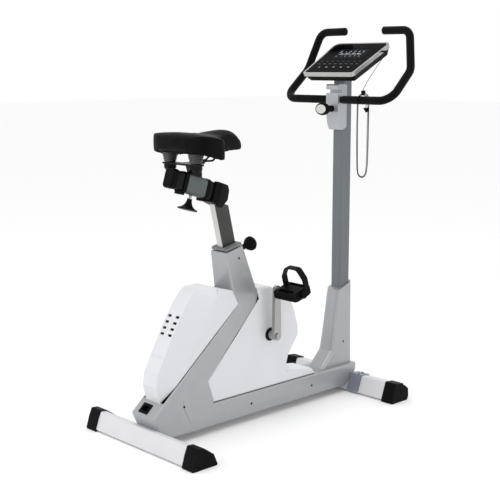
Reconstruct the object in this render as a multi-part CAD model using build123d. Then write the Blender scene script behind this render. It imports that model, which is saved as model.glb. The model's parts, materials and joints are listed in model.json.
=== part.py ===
"""Upright exercise bike: flywheel ergometer with sliding saddle, tilting handlebar and console.

Millimetres. +X points forward to the handlebar, +Y to the rider's left, +Z up. The origin lies on the
floor under the crank axis. Each function returns the solids of one or two sub-parts.
"""

from build123d import *
import math
import os

# ---------------------------------------------------------------- driving dimensions
TRACK = 570.0  # length of both cross tubes with their caps
CRANK_HEIGHT = 303.0  # crank axis above the floor
CRANK_LENGTH = 170.0
RUN_GAP = 0.05  # radial clearance of turning shafts
SLIDE_GAP = 0.3  # clearance of sliding and neighbouring moving faces

COVER_HALF = 60.0  # half width of the silver frame covers
COLLAR_HALF = 42.0  # half width of the covers at the seat collar
SHELL_HALF = 55.0  # half width of the white shells
COVER_WALL = 3.0
CREASE_DEPTH = 4.0  # fall of the covers' slanted side bands
REAR_ROUND = 8.0  # rounding of the rear shell's top side edges
BACK_HALF = 36.0  # half width of the rear shell's back face
BACK_RUN = 85.0  # length over which the rear shell widens to the full width
VENT_ROWS = 4
VENT_TOP = 424.0
VENT_PITCH = 18.6
SEAL_R = 24.0  # dark seals round the crank in the shells
TUBE_WALL = 2.5

BEAM_BOTTOM = 28.0
BEAM_TOP = 108.0
STRUT_Y = (-43.0, -15.5)  # hidden strut's faces
PLATE_YS = ((-36.0, -30.0), (45.0, 51.0))  # faces of the flywheel's side plates
CAP_LENGTH = 52.0

ROLLER_X = 497.0
ROLLER_Z = 32.0
ROLLER_R = 17.0
ROLLER_PIN_R = 4.0
ROLLER_IN = 40.0  # roller's inner face from the cap's outer end
ROLLER_OUT = 8.0

LEAN = 13.6  # backward lean of the seat post, degrees
POST_FOOT = (-159.0, 640.0)  # point on the seat post's axis at the collar, x and z
POST_DEPTH = 60.0
POST_WIDTH = 30.0
POST_WALL = 2.5
POST_LENGTH_IN = 240.0  # post below the collar
POST_LENGTH_OUT = 200.0  # post above the collar, cut by the rail
PIN_HOLE_PITCH = 25.0
PIN_R = 5.0
PIN_PLACE = -36.0  # height pin, along the post's axis from its foot
BUSHING_R = 9.0
SEAT_TUBE_GAP = 0.25
SEAT_TUBE_LOW = -225.0  # lower end of the seat tube, along the post's axis from its foot
SEAT_TUBE_HIGH = -10.0

SLIDE_TILT = 18.0  # the saddle slide falls forward by this angle
SLIDE_CENTRE = (-309.0, 857.0)  # centre of the grey sleeve, x and z
RAIL_HEIGHT = 61.0
RAIL_WIDTH = 42.0
SLEEVE_HEIGHT = 67.0
SLEEVE_WIDTH = 48.0
SLEEVE_HALF = 42.0  # half length of the sleeve
COLLAR_LENGTH = 15.0
RAIL_BACK = 88.0  # from the sleeve's centre back to the end cap
HEAD_FRONT = 150.0  # from the sleeve's centre to the front of the head cover
HEAD_BACK = 76.0
RAIL_FRONT = 138.0
KNOB_STEM_R = 5.0

SADDLE_BACK = -394.0
SADDLE_NOSE = -98.0
SADDLE_HALF = 139.0
SADDLE_TOP = 1034.0
SADDLE_BOTTOM = 966.0
SHELL_LOW_Z = SADDLE_BOTTOM + 2.0  # underside of the saddle's plastic base
SHELL_THICK = 5.0
SPRING_X = -351.0
SPRING_Y = 66.0
PLATE_TOP = 934.0  # top of the bracket that carries the springs

FLYWHEEL_X = -310.0
FLYWHEEL_Z = 292.0
FLYWHEEL_R = 110.0
FLYWHEEL_WIDTH = 28.0
FLYWHEEL_SIDE = -8.0  # the flywheel's right face
MAGNET_GAP = 2.0  # air gap between the flywheel and the brake's jaws
JAW_THICK = 5.0
PULLEY_R = 110.0
SMALL_PULLEY_R = 14.0
PULLEY_WIDTH = 14.0
BELT_Y = 35.0  # middle plane of the belt
BELT_THICK = 3.0
BELT_WIDTH = 12.0

AXLE_R = 8.5
ARM_INNER = 80.0  # inner face of the crank arms
ARM_THICK = 14.0
SPINDLE_R = 7.0
PEDAL_INNER = 116.0
PEDAL_OUTER = 212.0
PEDAL_LENGTH = 84.0
PEDAL_HEIGHT = 34.0
PEDAL_TILT = 16.0  # degrees, front edge up at rest
STRAP_X = 24.0
STRAP_RISE = 72.0
STRAP_WIDTH = 26.0
STRAP_THICK = 2.5

MAST_BACK = 407.0
MAST_FRONT = 460.0
MAST_HALF = 26.0
MAST_CORNER = 10.0
MAST_SEAM = 220.0
HEAD_LOW = 1010.0
HEAD_HIGH = 1182.0
HEAD_REAR = 374.0
KNOB_Z = 1092.0
KNOB_OVAL = 1.45  # width of the clamp knob over its height

BAR_X = 393.0  # axis of the handlebar's cross piece
BAR_Z = 1125.0
BAR_R = 12.5
GRIP_R = 15.0
GRIP_START = 38.0
BAR_CORNERS = [(0, 0, 0), (0, 262, 0), (120, 256, 109), (157, 218, 253), (159, 97, 254)]
BAR_RADII = [52, 58, 40]

CONSOLE_NEAR = (342.0, 1222.0)  # rider's edge of the console's face, x and z
CONSOLE_FAR = (548.0, 1336.0)
CONSOLE_NEAR_HALF = 124.5
CONSOLE_FAR_HALF = 136.0
CONSOLE_DEPTH = 39.0
BEZEL_DEPTH = 14.0
KEY_COUNT = 5
KEY_SIZE = (22.0, 12.0)
KEY_PITCH = 36.0

JACK_R = 2.0
CABLE_R = 1.0
HANK_Y = -135.0
HANK_HALF = 21.5  # half width of the loop over the bar
HANK_STRAND_R = 3.0
HANK_BOTTOM = 828.0
HANK_TURN = 28.0  # degrees, turn of the loop's plane about the vertical


# ---------------------------------------------------------------- helpers
def side_prism(points, y_low, y_high, radius=0.0):
    """Prism along Y over an outline of (x, z) points, with its corners rounded by radius."""
    corners = [(x, y_low, z) for x, z in points]
    if radius:
        outline = Wire(FilletPolyline(*corners, radius=radius, close=True).edges())
    else:
        outline = Wire(Polyline(*corners, close=True).edges())
    return extrude(Face(outline), amount=y_high - y_low, dir=(0, 1, 0))


def block(x0, x1, y0, y1, z0, z1):
    """Box between the given limits."""
    return Pos((x0 + x1) / 2, (y0 + y1) / 2, (z0 + z1) / 2) * Box(x1 - x0, y1 - y0, z1 - z0)


def rod(start, end, radius):
    """Round rod between two points."""
    run = Vector(*end) - Vector(*start)
    return extrude(Plane(Vector(*start), z_dir=run) * Circle(radius), amount=run.length)


def ring(start, end, outer, inner):
    """Tube between two points."""
    return rod(start, end, outer) - rod(start, end, inner)


def sum_of(solids):
    """All the given solids joined."""
    total = solids[0]
    for solid in solids[1:]:
        total += solid
    return total


def halves(solid):
    """The solid's right half (negative Y) and left half."""
    big = 3000
    right = solid & block(-big, big, -big, 0, -big, big)
    left = solid & block(-big, big, 0, big, -big, big)
    return right, left


def on_lean(distance, forward=0.0):
    """Point (x, z) beside the seat post's axis: distance up the post from its foot, forward of the axis."""
    up = (-math.sin(math.radians(LEAN)), math.cos(math.radians(LEAN)))
    return (POST_FOOT[0] + up[0] * distance + up[1] * forward,
            POST_FOOT[1] + up[1] * distance - up[0] * forward)


def lean_plane(distance):
    """Plane square to the seat post with its X forward."""
    x, z = on_lean(distance)
    tilt = math.radians(LEAN)
    along, above = (math.cos(tilt), 0, math.sin(tilt)), (-math.sin(tilt), 0, math.cos(tilt))
    return Plane((x, 0, z), x_dir=along, z_dir=above)


def on_slide(along, up=0.0):
    """Point (x, z) by the slide's axis: along it, forward and down, from the sleeve's centre, and above it."""
    tilt = math.radians(SLIDE_TILT)
    return (SLIDE_CENTRE[0] + math.cos(tilt) * along + math.sin(tilt) * up,
            SLIDE_CENTRE[1] - math.sin(tilt) * along + math.cos(tilt) * up)


def slide_plane(along):
    """Plane square to the slide: its X is the rider's left, its Y points up, its Z forward along the slide."""
    x, z = on_slide(along)
    tilt = math.radians(SLIDE_TILT)
    return Plane((x, 0, z), x_dir=(0, 1, 0), z_dir=(math.cos(tilt), 0, -math.sin(tilt)))


def slide_bar(start, end, width, height, radius):
    """Rounded bar along the slide, from start to end."""
    return extrude(slide_plane(start) * RectangleRounded(width, height, radius), amount=end - start)


def console_plane(below=0.0):
    """Plane of the console's face, sunk by below: its X points away from the rider, its Y to the left."""
    run = Vector(CONSOLE_FAR[0] - CONSOLE_NEAR[0], 0, CONSOLE_FAR[1] - CONSOLE_NEAR[1]).normalized()
    normal = Vector(-run.Z, 0, run.X)
    start = Vector(CONSOLE_NEAR[0], 0, CONSOLE_NEAR[1]) - normal * below
    return Plane(start, x_dir=run, z_dir=normal)


CONSOLE_LENGTH = math.dist(CONSOLE_NEAR, CONSOLE_FAR)


# ---------------------------------------------------------------- outlines shared by the covers
STRUT_TOP = (-150.0, 437.0)  # inner corner of the strut and the seat tube
SHELL_LOW = (-492.0, 150.0)
COLLAR_BACK = (-198.0, 619.0)
COLLAR_FRONT = (-120.0, 637.5)
SEAT_BEND = (-62.0, 480.0)
FRONT_BEND = (-50.0, 438.0)
STRUT_LOW = (-300.0, 190.0)
STRUT_FOOT = (-272.0, BEAM_TOP)
SEAT_BACK = (-177.0, 488.0)
FRAME_TAIL = [(-515.0, 60.0), (-538.0, 109.0), SHELL_LOW]
FRAME_NOSE = [(468.0, BEAM_TOP), (468.0, 80.0), (410.0, BEAM_BOTTOM), (-457.0, BEAM_BOTTOM)]
SEAT_EDGE = [SEAT_BACK, COLLAR_BACK, COLLAR_FRONT, SEAT_BEND]
BACK_LINE = [SHELL_LOW, (-506.0, 205.0), (-497.0, 250.0), (-465.0, 310.0), (-418.0, 395.0), (-372.0, 465.0),
             (-340.0, 500.0)]
REAR_EDGE = BACK_LINE[1:] + [(-318.0, 511.0), (-255.0, 510.0)]
FRONT_EDGE = [
    (0.0, 478.0), (96.0, 430.0), (122.0, 385.0), (147.0, 310.0), (147.0, 276.0), (98.0, 210.0), (84.0, 165.0),
    (96.0, 148.0), (225.0, 130.0), (240.0, BEAM_TOP),
]
FRAME_OUTLINE = FRAME_TAIL + [STRUT_TOP] + SEAT_EDGE + [FRONT_BEND, STRUT_LOW, STRUT_FOOT] + FRAME_NOSE
FRONT_SHELL_OUTLINE = [STRUT_FOOT, STRUT_LOW, FRONT_BEND, SEAT_BEND] + FRONT_EDGE
REAR_SHELL_OUTLINE = [SHELL_LOW] + REAR_EDGE + [SEAT_BACK, STRUT_TOP]
BODY_OUTLINE = FRAME_TAIL + REAR_EDGE + SEAT_EDGE + FRONT_EDGE + FRAME_NOSE
STRUT_CREASE = [(-146, 610), (-112, 520), (-98, 462), (-112, 432), (-200, 345), (-300, 241), (-352, 190)]
STRUT_EDGE = [(-108, 618), (-58, 500), (-40, 452), (-52, 412), (-158, 302), (-262, 202), (-290, 168)]
STRUT_FALLS = [CREASE_DEPTH] * 6 + [0.1]
TAIL_SEAM = [(-410, 145), (-402, 105), (-380, 62)]
STABILIZER_REAR = [(-562.0, 4.0), (-549.0, 42.0), (-538.0, 68.0), (-518.0, 66.0), (-478.0, 38.0), (-461.0, 4.0)]
STABILIZER_FRONT = [(415.0, 4.0), (440.0, 70.0), (478.0, 66.0), (500.0, 40.0), (500.0, 4.0)]
CAP_REAR = [(-566.0, 0.0), (-553.0, 43.0), (-541.0, 72.0), (-516.0, 70.0), (-475.0, 41.0), (-457.0, 0.0)]
CAP_FRONT = [(411.0, 0.0), (438.0, 74.0), (481.0, 70.0), (481.0, 0.0)]


def inset_prism(points, amount, y_low, y_high, radius=0.0):
    """Prism along Y over an outline moved inwards by amount, after its corners are rounded by radius."""
    corners = [(x, y_low, z) for x, z in points]
    path = FilletPolyline(*corners, radius=radius, close=True) if radius else Polyline(*corners, close=True)
    face = offset(Face(Wire(path.edges())), -amount, kind=Kind.INTERSECTION)
    return extrude(face, amount=y_high - y_low, dir=(0, 1, 0))


def cross_section(narrow):
    """Bar along X with the body's front view: wide at the base, tapering to the seat tube's collar."""
    wide, top = COVER_HALF - narrow, COLLAR_HALF - narrow
    face = make_face(Polyline((-wide, 0), (-wide, 200), (-top, 640), (-top, 800), (top, 800), (top, 640),
                              (wide, 200), (wide, 0), close=True))
    return extrude(Plane((0, 0, 0), x_dir=(0, 1, 0), z_dir=(1, 0, 0)) * face, amount=800, both=True)


def body_cavity():
    """The room inside all covers together."""
    half = SHELL_HALF - COVER_WALL
    room = inset_prism(BODY_OUTLINE, COVER_WALL, -half, half)
    return room & cross_section(COVER_WALL)


def back_trim(narrow):
    """What the rear shell's tapering back leaves off a square one."""
    cuts = []
    for (x0, z0), (x1, z1) in zip(BACK_LINE, BACK_LINE[1:]):
        rise = Vector(x1 - x0, 0, z1 - z0).normalized()
        forward = Vector(rise.Z, 0, -rise.X)
        for side in (-1, 1):
            start = Vector(x0, side * (BACK_HALF - narrow), z0) + forward * narrow
            way = forward * BACK_RUN + Vector(0, side * (SHELL_HALF - BACK_HALF), 0)
            out = rise.cross(way) * side
            cuts.append(extrude(Plane(start, x_dir=rise, z_dir=out) * Rectangle(1600, 1600), amount=90))
    return sum_of(cuts) & block(-560, -250, -90, 90, SHELL_LOW[1] + narrow, 560)


def side_cover(points, half, edge_round, tapered):
    """Solid cover over an outline: its long side edges are rounded, tapered ones follow the front view."""
    cover = side_prism(points, -half, half)
    if tapered:
        cover &= cross_section(0)
    sides = [e for e in cover.edges() if abs(e.center().Y) > COLLAR_HALF - 1]
    return fillet([e for e in sides if abs(e.tangent_at(0.5).Y) < 0.3], edge_round)


def cover_half_at(z):
    """Half width of the tapering covers at a height."""
    return COVER_HALF - max(0.0, z - 200) * (COVER_HALF - COLLAR_HALF) / 440


def slanted_band(crease, edge, depths):
    """What a slanted band loses on both sides: from its crease it falls by the depths to its edge."""
    sections = []
    for (px, pz), (qx, qz), depth in zip(crease, edge, depths):
        low = (qx, cover_half_at(qz) - depth, qz)
        high = (qx, cover_half_at(qz) + 20, qz)
        sections.append(make_face(Polyline((px, cover_half_at(pz) + 0.01, pz), low, high, close=True)))
    wedge = loft(sections, ruled=True)
    return wedge + mirror(wedge, Plane.XZ)


def seam(points, width, depth):
    """Shallow groove along a line on both sides of the covers."""
    cuts = []
    for (x0, z0), (x1, z1) in zip(points, points[1:]):
        run = math.dist((x0, z0), (x1, z1))
        dx, dz = (z1 - z0) / run * width / 2, (x0 - x1) / run * width / 2
        quad = [(x0 - dx, z0 - dz), (x1 - dx, z1 - dz), (x1 + dx, z1 + dz), (x0 + dx, z0 + dz)]
        for low, high in ((-COVER_HALF - 1, -COVER_HALF + depth), (COVER_HALF - depth, COVER_HALF + 1)):
            cuts.append(side_prism(quad, low, high))
    return sum_of(cuts)


# ---------------------------------------------------------------- frame
def post_section(depth, width, wall, start, length):
    """Rectangular tube along the seat post's axis, from start up the axis; wall 0 makes it solid."""
    plane = lean_plane(start)
    tube = extrude(plane * RectangleRounded(depth, width, 4), amount=length)
    if wall:
        tube -= extrude(plane * RectangleRounded(depth - 2 * wall, width - 2 * wall, 2), amount=length)
    return tube


def post_hole():
    """Depth and width of the hole that the seat post slides in."""
    return POST_DEPTH + 2 * SEAT_TUBE_GAP, POST_WIDTH + 2 * SEAT_TUBE_GAP


def main_frame():
    """Welded frame: base tube, strut, seat tube, crank bracket and flywheel plates."""
    base = block(-440, 405, -30, 30, 40, 95) - block(-440 + TUBE_WALL, 405 - TUBE_WALL, -27, 27, 43, 92)
    bore = extrude(lean_plane(SEAT_TUBE_LOW) * Rectangle(*post_hole()), amount=SEAT_TUBE_HIGH - SEAT_TUBE_LOW)
    tube = post_section(POST_DEPTH + 8, POST_WIDTH + 8, 0, SEAT_TUBE_LOW, SEAT_TUBE_HIGH - SEAT_TUBE_LOW)
    strut = side_prism([(-400, 90), (-150, 415), (-150, 480), (-90, 480), (-75, 420), (-330, 90)], *STRUT_Y)
    pillar = block(-20, 20, -44, 12, 90, CRANK_HEIGHT)
    shell = rod((0, -47, CRANK_HEIGHT), (0, 20, CRANK_HEIGHT), 24)
    plates = [side_prism([(FLYWHEEL_X - 30, 90), (FLYWHEEL_X - 16, FLYWHEEL_Z), (FLYWHEEL_X + 16, FLYWHEEL_Z),
                          (FLYWHEEL_X + 30, 90)], y0, y1) for y0, y1 in PLATE_YS]
    hubs = [rod((FLYWHEEL_X, y0, FLYWHEEL_Z), (FLYWHEEL_X, y1, FLYWHEEL_Z), 20) for y0, y1 in PLATE_YS]
    foot = block(FLYWHEEL_X - 30, FLYWHEEL_X + 30, PLATE_YS[0][0], PLATE_YS[1][1], 90, 96)
    frame = base + tube + strut + pillar + shell + plates[0] + plates[1] + hubs[0] + hubs[1] + foot
    frame -= bore
    frame -= rod((0, -60, CRANK_HEIGHT), (0, 30, CRANK_HEIGHT), 17)
    frame -= rod((FLYWHEEL_X, -60, FLYWHEEL_Z), (FLYWHEEL_X, 60, FLYWHEEL_Z), 12)
    return frame + height_bushing() - pin_bore()


def on_lean_3d(distance, forward):
    """Point in the middle plane beside the seat post's axis."""
    x, z = on_lean(distance, forward)
    return (x, 0, z)


def bearings():
    """Crank bearings, flywheel bearings and the dark seals in the covers' crank holes."""
    spans = [(-46, -34), (6, 18)]
    crank = [ring((0, a, CRANK_HEIGHT), (0, b, CRANK_HEIGHT), 17, AXLE_R + RUN_GAP) for a, b in spans]
    wheel = [ring((FLYWHEEL_X, a, FLYWHEEL_Z), (FLYWHEEL_X, b, FLYWHEEL_Z), 12, 6 + RUN_GAP)
             for a, b in PLATE_YS]
    seals = []
    for side in (-1, 1):
        inner, outer = side * (SHELL_HALF - 5), side * (SHELL_HALF + 2)
        seals.append(ring((0, inner, CRANK_HEIGHT), (0, outer, CRANK_HEIGHT), SEAL_R, 19.5))
    return Compound(crank + wheel + seals)


def frame_covers():
    """Right and left silver covers, open where the post, pin, mast, inlet and cross tubes pass."""
    cover = side_cover(FRAME_OUTLINE, COVER_HALF, 7, True) - body_cavity()
    cover -= slanted_band(STRUT_CREASE, STRUT_EDGE, STRUT_FALLS)
    cover -= slanted_band([(-380, 62), (480, 62)], [(-392, 18), (480, 18)], [CREASE_DEPTH] * 2)
    cover -= seam(TAIL_SEAM, 1.2, 1.0)
    cover -= side_prism(STABILIZER_REAR, -100, 100, 6)
    cover -= side_prism(STABILIZER_FRONT, -100, 100, 6)
    cover -= extrude(lean_plane(-60) * Rectangle(POST_DEPTH + 9, POST_WIDTH + 9), amount=90)
    cover -= rod(on_lean_3d(PIN_PLACE, 20), on_lean_3d(PIN_PLACE, 70), 15)
    cover -= mast_tube(90, 120)
    cover -= extrude(inlet_plane() * Rectangle(34, 42), amount=30, both=True)
    return halves(cover)


def inlet_plane():
    """Plane on the sloping back face, X along the slope, Z out of it."""
    low, high = Vector(-538, 0, 109), Vector(SHELL_LOW[0], 0, SHELL_LOW[1])
    run = (high - low).normalized()
    normal = Vector(-run.Z, 0, run.X)
    return Plane(low + run * (high - low).length * 0.48 + Vector(0, 8, 0), x_dir=run, z_dir=normal)


def power_inlet():
    """Three-pole mains inlet with its flange and pins."""
    plane = inlet_plane()
    flange = extrude(plane * RectangleRounded(38, 46, 3), amount=2)
    body = extrude(plane * Rectangle(33.6, 41.6), amount=-26)
    cup = extrude(plane.offset(2) * RectangleRounded(20, 28, 3), amount=-18)
    inlet = (flange + body) - cup
    for x, y in ((0, 0), (-4, 8), (-4, -8)):
        inlet += extrude(plane.offset(-16) * Pos(x, y) * Rectangle(5, 2), amount=14)
    return inlet


def white_shells():
    """Front and rear white shells, each as right and left halves."""
    cavity = body_cavity()
    front = side_cover(FRONT_SHELL_OUTLINE, SHELL_HALF, 8, False) - cavity
    front -= rod((0, -70, CRANK_HEIGHT), (0, 70, CRANK_HEIGHT), SEAL_R)
    back_room = cavity - back_trim(COVER_WALL)
    rear = side_cover(REAR_SHELL_OUTLINE, SHELL_HALF, REAR_ROUND, False) - back_trim(0) - back_room
    rear -= block(-560, -440, -90, 90, 299.4, 300.6) - inset_prism(REAR_SHELL_OUTLINE, 1.0, -90, 90)
    for row in range(VENT_ROWS):
        z = VENT_TOP - row * VENT_PITCH
        for side in (-1, 1):
            rear -= block(-480, -378, side * 20 - 9, side * 20 + 9, z - 4, z + 4)
    return [*halves(front), *halves(rear)]


def seat_collar():
    """Guide bush on the seat tube: a plate on the covers and a short sleeve round the post."""
    plate = extrude(lean_plane(-7) * Pos(-1, 0) * RectangleRounded(76, 82, 8), amount=7)
    return plate - extrude(lean_plane(-30) * Rectangle(*post_hole()), amount=60)


def height_bushing():
    """Threaded guide of the height pin, screwed into the seat tube."""
    inner = POST_DEPTH / 2 + SEAT_TUBE_GAP
    body = rod(on_lean_3d(PIN_PLACE, inner), on_lean_3d(PIN_PLACE, inner + 34), BUSHING_R)
    nut = rod(on_lean_3d(PIN_PLACE, inner + 18), on_lean_3d(PIN_PLACE, inner + 30), 14)
    return body + nut


def pin_bore():
    """Bore of the height pin through the seat tube's front wall and the guide."""
    return rod(on_lean_3d(PIN_PLACE, 5), on_lean_3d(PIN_PLACE, 80), PIN_R + RUN_GAP)


def height_pin():
    """Pull pin with its mushroom knob."""
    start = POST_DEPTH / 2 + SEAT_TUBE_GAP + SLIDE_GAP
    plane = Plane(Vector(*on_lean_3d(PIN_PLACE, 0)), x_dir=(0, 1, 0),
                  z_dir=Vector(*on_lean_3d(PIN_PLACE, 1)) - Vector(*on_lean_3d(PIN_PLACE, 0)))
    neck, head = start + 35, start + 92
    outline = Polyline((0, start), (PIN_R, start), (PIN_R, neck), (11, neck), (9, neck + 16), (19, head - 30),
                       (25, head - 20), (26, head - 10), (20, head - 2), (0, head), close=True)
    return revolve_on(plane, outline)


def revolve_on(plane, outline):
    """Solid of revolution about the plane's Z from an outline of (radius, height) points."""
    profile = Plane(plane.origin, x_dir=plane.x_dir, z_dir=plane.x_dir.cross(plane.z_dir)) * make_face(outline)
    return revolve(profile, Axis(plane.origin, plane.z_dir))


# ---------------------------------------------------------------- cross tubes
def cross_tube(points):
    """Thin-walled profile tube between the end caps."""
    half = TRACK / 2 - CAP_LENGTH
    return side_prism(points, -half, half, 6) - inset_prism(points, TUBE_WALL, -half, half, 6)


def rear_stabilizer():
    """White rear cross tube."""
    return cross_tube(STABILIZER_REAR)


def front_stabilizer():
    """White front cross tube."""
    return cross_tube(STABILIZER_FRONT)


def rear_caps():
    """Black end caps of the rear cross tube, standing on the floor."""
    half = TRACK / 2
    right = side_prism(CAP_REAR, -half, -half + CAP_LENGTH, 5)
    return Compound([right, side_prism(CAP_REAR, half - CAP_LENGTH, half, 5)])


def front_caps():
    """Black end caps of the front cross tube with forks round the transport rollers."""
    half = TRACK / 2
    caps = []
    for side in (-1, 1):
        y0, y1 = sorted((side * (half - CAP_LENGTH), side * half))
        cap = side_prism(CAP_FRONT, y0, y1, 5)
        cheeks = side_prism([(470, 0), (470, 66), (490, 60), (510, 44), (512, 14), (504, 0)], y0, y1, 4)
        gap0, gap1 = sorted((side * (half - ROLLER_IN), side * (half - ROLLER_OUT)))
        cheeks -= rod((ROLLER_X, gap0, ROLLER_Z), (ROLLER_X, gap1, ROLLER_Z), ROLLER_R + 1.5)
        cheeks -= block(ROLLER_X, ROLLER_X + 30, gap0, gap1, -1, 60)
        cap -= rod((ROLLER_X, gap0, ROLLER_Z), (ROLLER_X, gap1, ROLLER_Z), ROLLER_R + 1.5)
        cap += cheeks
        cap -= rod((ROLLER_X, y0 - 1, ROLLER_Z), (ROLLER_X, y1 + 1, ROLLER_Z), ROLLER_PIN_R + RUN_GAP)
        caps.append(cap)
    return Compound(caps)


def roller(side):
    """One transport roller on its own pin."""
    half = TRACK / 2
    wheel = rod((ROLLER_X, side * (half - ROLLER_IN + 0.5), ROLLER_Z),
                (ROLLER_X, side * (half - ROLLER_OUT - 0.5), ROLLER_Z), ROLLER_R)
    pin = rod((ROLLER_X, side * (half - 46), ROLLER_Z), (ROLLER_X, side * (half - 1), ROLLER_Z), ROLLER_PIN_R)
    return wheel + pin


def front_saddles():
    """Saddle plates with their screw heads, which hold the front cross tube on both sides of the covers."""
    shape = side_prism([(412, 10), (436, 73), (481, 69), (503, 42), (503, 30), (499.9, 30), (499.9, 39), (478, 66),
                        (440, 70), (415, 10)], COVER_HALF + 0.5, 116)
    tube = side_prism(STABILIZER_FRONT, 0, 200, 6)
    plate = shape - tube
    for x, z in ((448, 71.0), (470, 69.0)):
        plate += rod((x, 92, z), (x, 92, z + 5), 4.5)
    return Compound([plate, mirror(plate, Plane.XZ)])


# ---------------------------------------------------------------- mast
def mast_tube(z0, z1, grow=0.0):
    """Solid of the mast's rounded square section."""
    face = Pos((MAST_BACK + MAST_FRONT) / 2, 0, z0) * RectangleRounded(
        MAST_FRONT - MAST_BACK + 2 * grow, 2 * (MAST_HALF + grow), MAST_CORNER + grow)
    return extrude(face, amount=z1 - z0)


def handlebar_post():
    """Upright post, cut to the console's underside at the top."""
    tube = mast_tube(BEAM_TOP - COVER_WALL - 12, 1290) - mast_tube(BEAM_TOP, 1290, -3)
    return tube - above_console(CONSOLE_DEPTH)


def above_console(below):
    """Everything above the plane sunk under the console's face by below."""
    return extrude(console_plane(below) * Rectangle(900, 900), amount=500)


def mast_cover(outline, half_low, half_high, z_low, z_high):
    """Thin cover round the post over a side outline, tapering in width upwards."""
    def form(shrink):
        body = inset_prism(outline, shrink, -60, 60) if shrink else side_prism(outline, -60, 60)
        low, high = half_low - shrink, half_high - shrink
        front = make_face(Polyline((-low, z_low), (-high, z_high), (high, z_high), (low, z_low), close=True))
        body &= extrude(Plane((0, 0, 0), x_dir=(0, 1, 0), z_dir=(1, 0, 0)) * front, amount=900, both=True)
        upright = [e for e in body.edges() if abs(e.tangent_at(0.5).Z) > 0.7 and abs(e.center().Y) > 20]
        return fillet(upright, 15 - shrink)
    return form(0) - form(COVER_WALL) - mast_tube(z_low - 5, z_high + 60)


def mast_covers():
    """Lower and upper grey covers of the mast."""
    lower = mast_cover([(295, BEAM_TOP), (352, 168), (362, MAST_SEAM), (468, MAST_SEAM), (468, BEAM_TOP)],
                       38, 35, BEAM_TOP, MAST_SEAM)
    upper = mast_cover([(362, MAST_SEAM), (390, 400), (468, 431), (468, MAST_SEAM)], 35, 32.5, MAST_SEAM, 440)
    return lower, upper


def post_head():
    """Light grey head behind the post, with the bore of the handlebar."""
    body = side_prism([(MAST_BACK + 16, HEAD_LOW + 12), (MAST_BACK - 14, HEAD_LOW), (HEAD_REAR + 8, HEAD_LOW + 26),
                       (HEAD_REAR, HEAD_LOW + 70), (HEAD_REAR, HEAD_HIGH), (MAST_BACK + 16, HEAD_HIGH)], -30, 30, 8)
    body -= mast_tube(HEAD_LOW - 10, HEAD_HIGH + 10)
    body -= rod((BAR_X, -40, BAR_Z), (BAR_X, 40, BAR_Z), BAR_R + RUN_GAP)
    body -= rod((HEAD_REAR - 10, 0, KNOB_Z), (BAR_X, 0, KNOB_Z), 5 + RUN_GAP)
    return body - block(HEAD_REAR - 5, HEAD_REAR + 22, -40, 40, 1150, 1162)


def handlebar_knob():
    """Clamp knob behind the head: round stem, oval grip and oval disc in one."""
    plane = Plane((HEAD_REAR, 0, KNOB_Z), x_dir=(0, 1, 0), z_dir=(-1, 0, 0))
    stem = revolve_on(plane, Polyline((0, -12), (5, -12), (5, SLIDE_GAP), (12, SLIDE_GAP), (12, 38), (0, 38),
                                      close=True))
    grip_outline = Polyline((0, 34), (14, 34), (19, 40), (23, 48), (23, 54), (21, 58), (18, 61), (0, 62),
                            close=True)
    return stem + scale(revolve_on(plane, grip_outline), by=(1, KNOB_OVAL, 1))


# ---------------------------------------------------------------- handlebar
def bar_path(side):
    """Centre line of one half of the handlebar, from the middle to the horn's tip."""
    points = [(BAR_X + x, side * y, BAR_Z + z) for x, y, z in BAR_CORNERS]
    return Wire(FilletPolyline(*points, radius=BAR_RADII).edges())


def bar_sweep(path, outer, inner):
    """Round tube along a path."""
    plane = Plane(path @ 0, z_dir=path % 0)
    solid = sweep(plane * Circle(outer), path=path)
    return solid - sweep(plane * Circle(inner), path=path) if inner else solid


def handlebar_tube():
    """Bent steel tube from tip to tip."""
    return bar_sweep(bar_path(1), BAR_R, BAR_R - 2) + bar_sweep(bar_path(-1), BAR_R, BAR_R - 2)


def grip(side):
    """Foam grip from beside the clamp to the horn's tip, with its domed end."""
    path = bar_path(side)
    full = bar_sweep(path, GRIP_R, BAR_R)
    foam = full - block(0, 800, -GRIP_START, GRIP_START, 1000, 1250)
    end = Plane(path @ 1, z_dir=path % 1)
    dome = Polyline((0, 0), (GRIP_R, 0), (GRIP_R - 1, 2), (GRIP_R - 4, 4), (0, 4), close=True)
    return foam + revolve_on(end, dome)


# ---------------------------------------------------------------- console
def console_outline(shrink, below):
    """Outline of the console's face, drawn in by shrink, on its plane sunk by below."""
    near, far = CONSOLE_NEAR_HALF - shrink, CONSOLE_FAR_HALF - shrink
    face = make_face(Polyline((shrink, -near), (CONSOLE_LENGTH - shrink, -far), (CONSOLE_LENGTH - shrink, far),
                              (shrink, near), close=True))
    corners = face.vertices().sort_by(Axis.X)
    face = fillet(corners[:2], 13 - shrink / 2)
    face = fillet([v for v in face.vertices() if v.X > CONSOLE_LENGTH - shrink - 1], 24 - shrink / 2)
    return console_plane(below) * face


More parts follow.
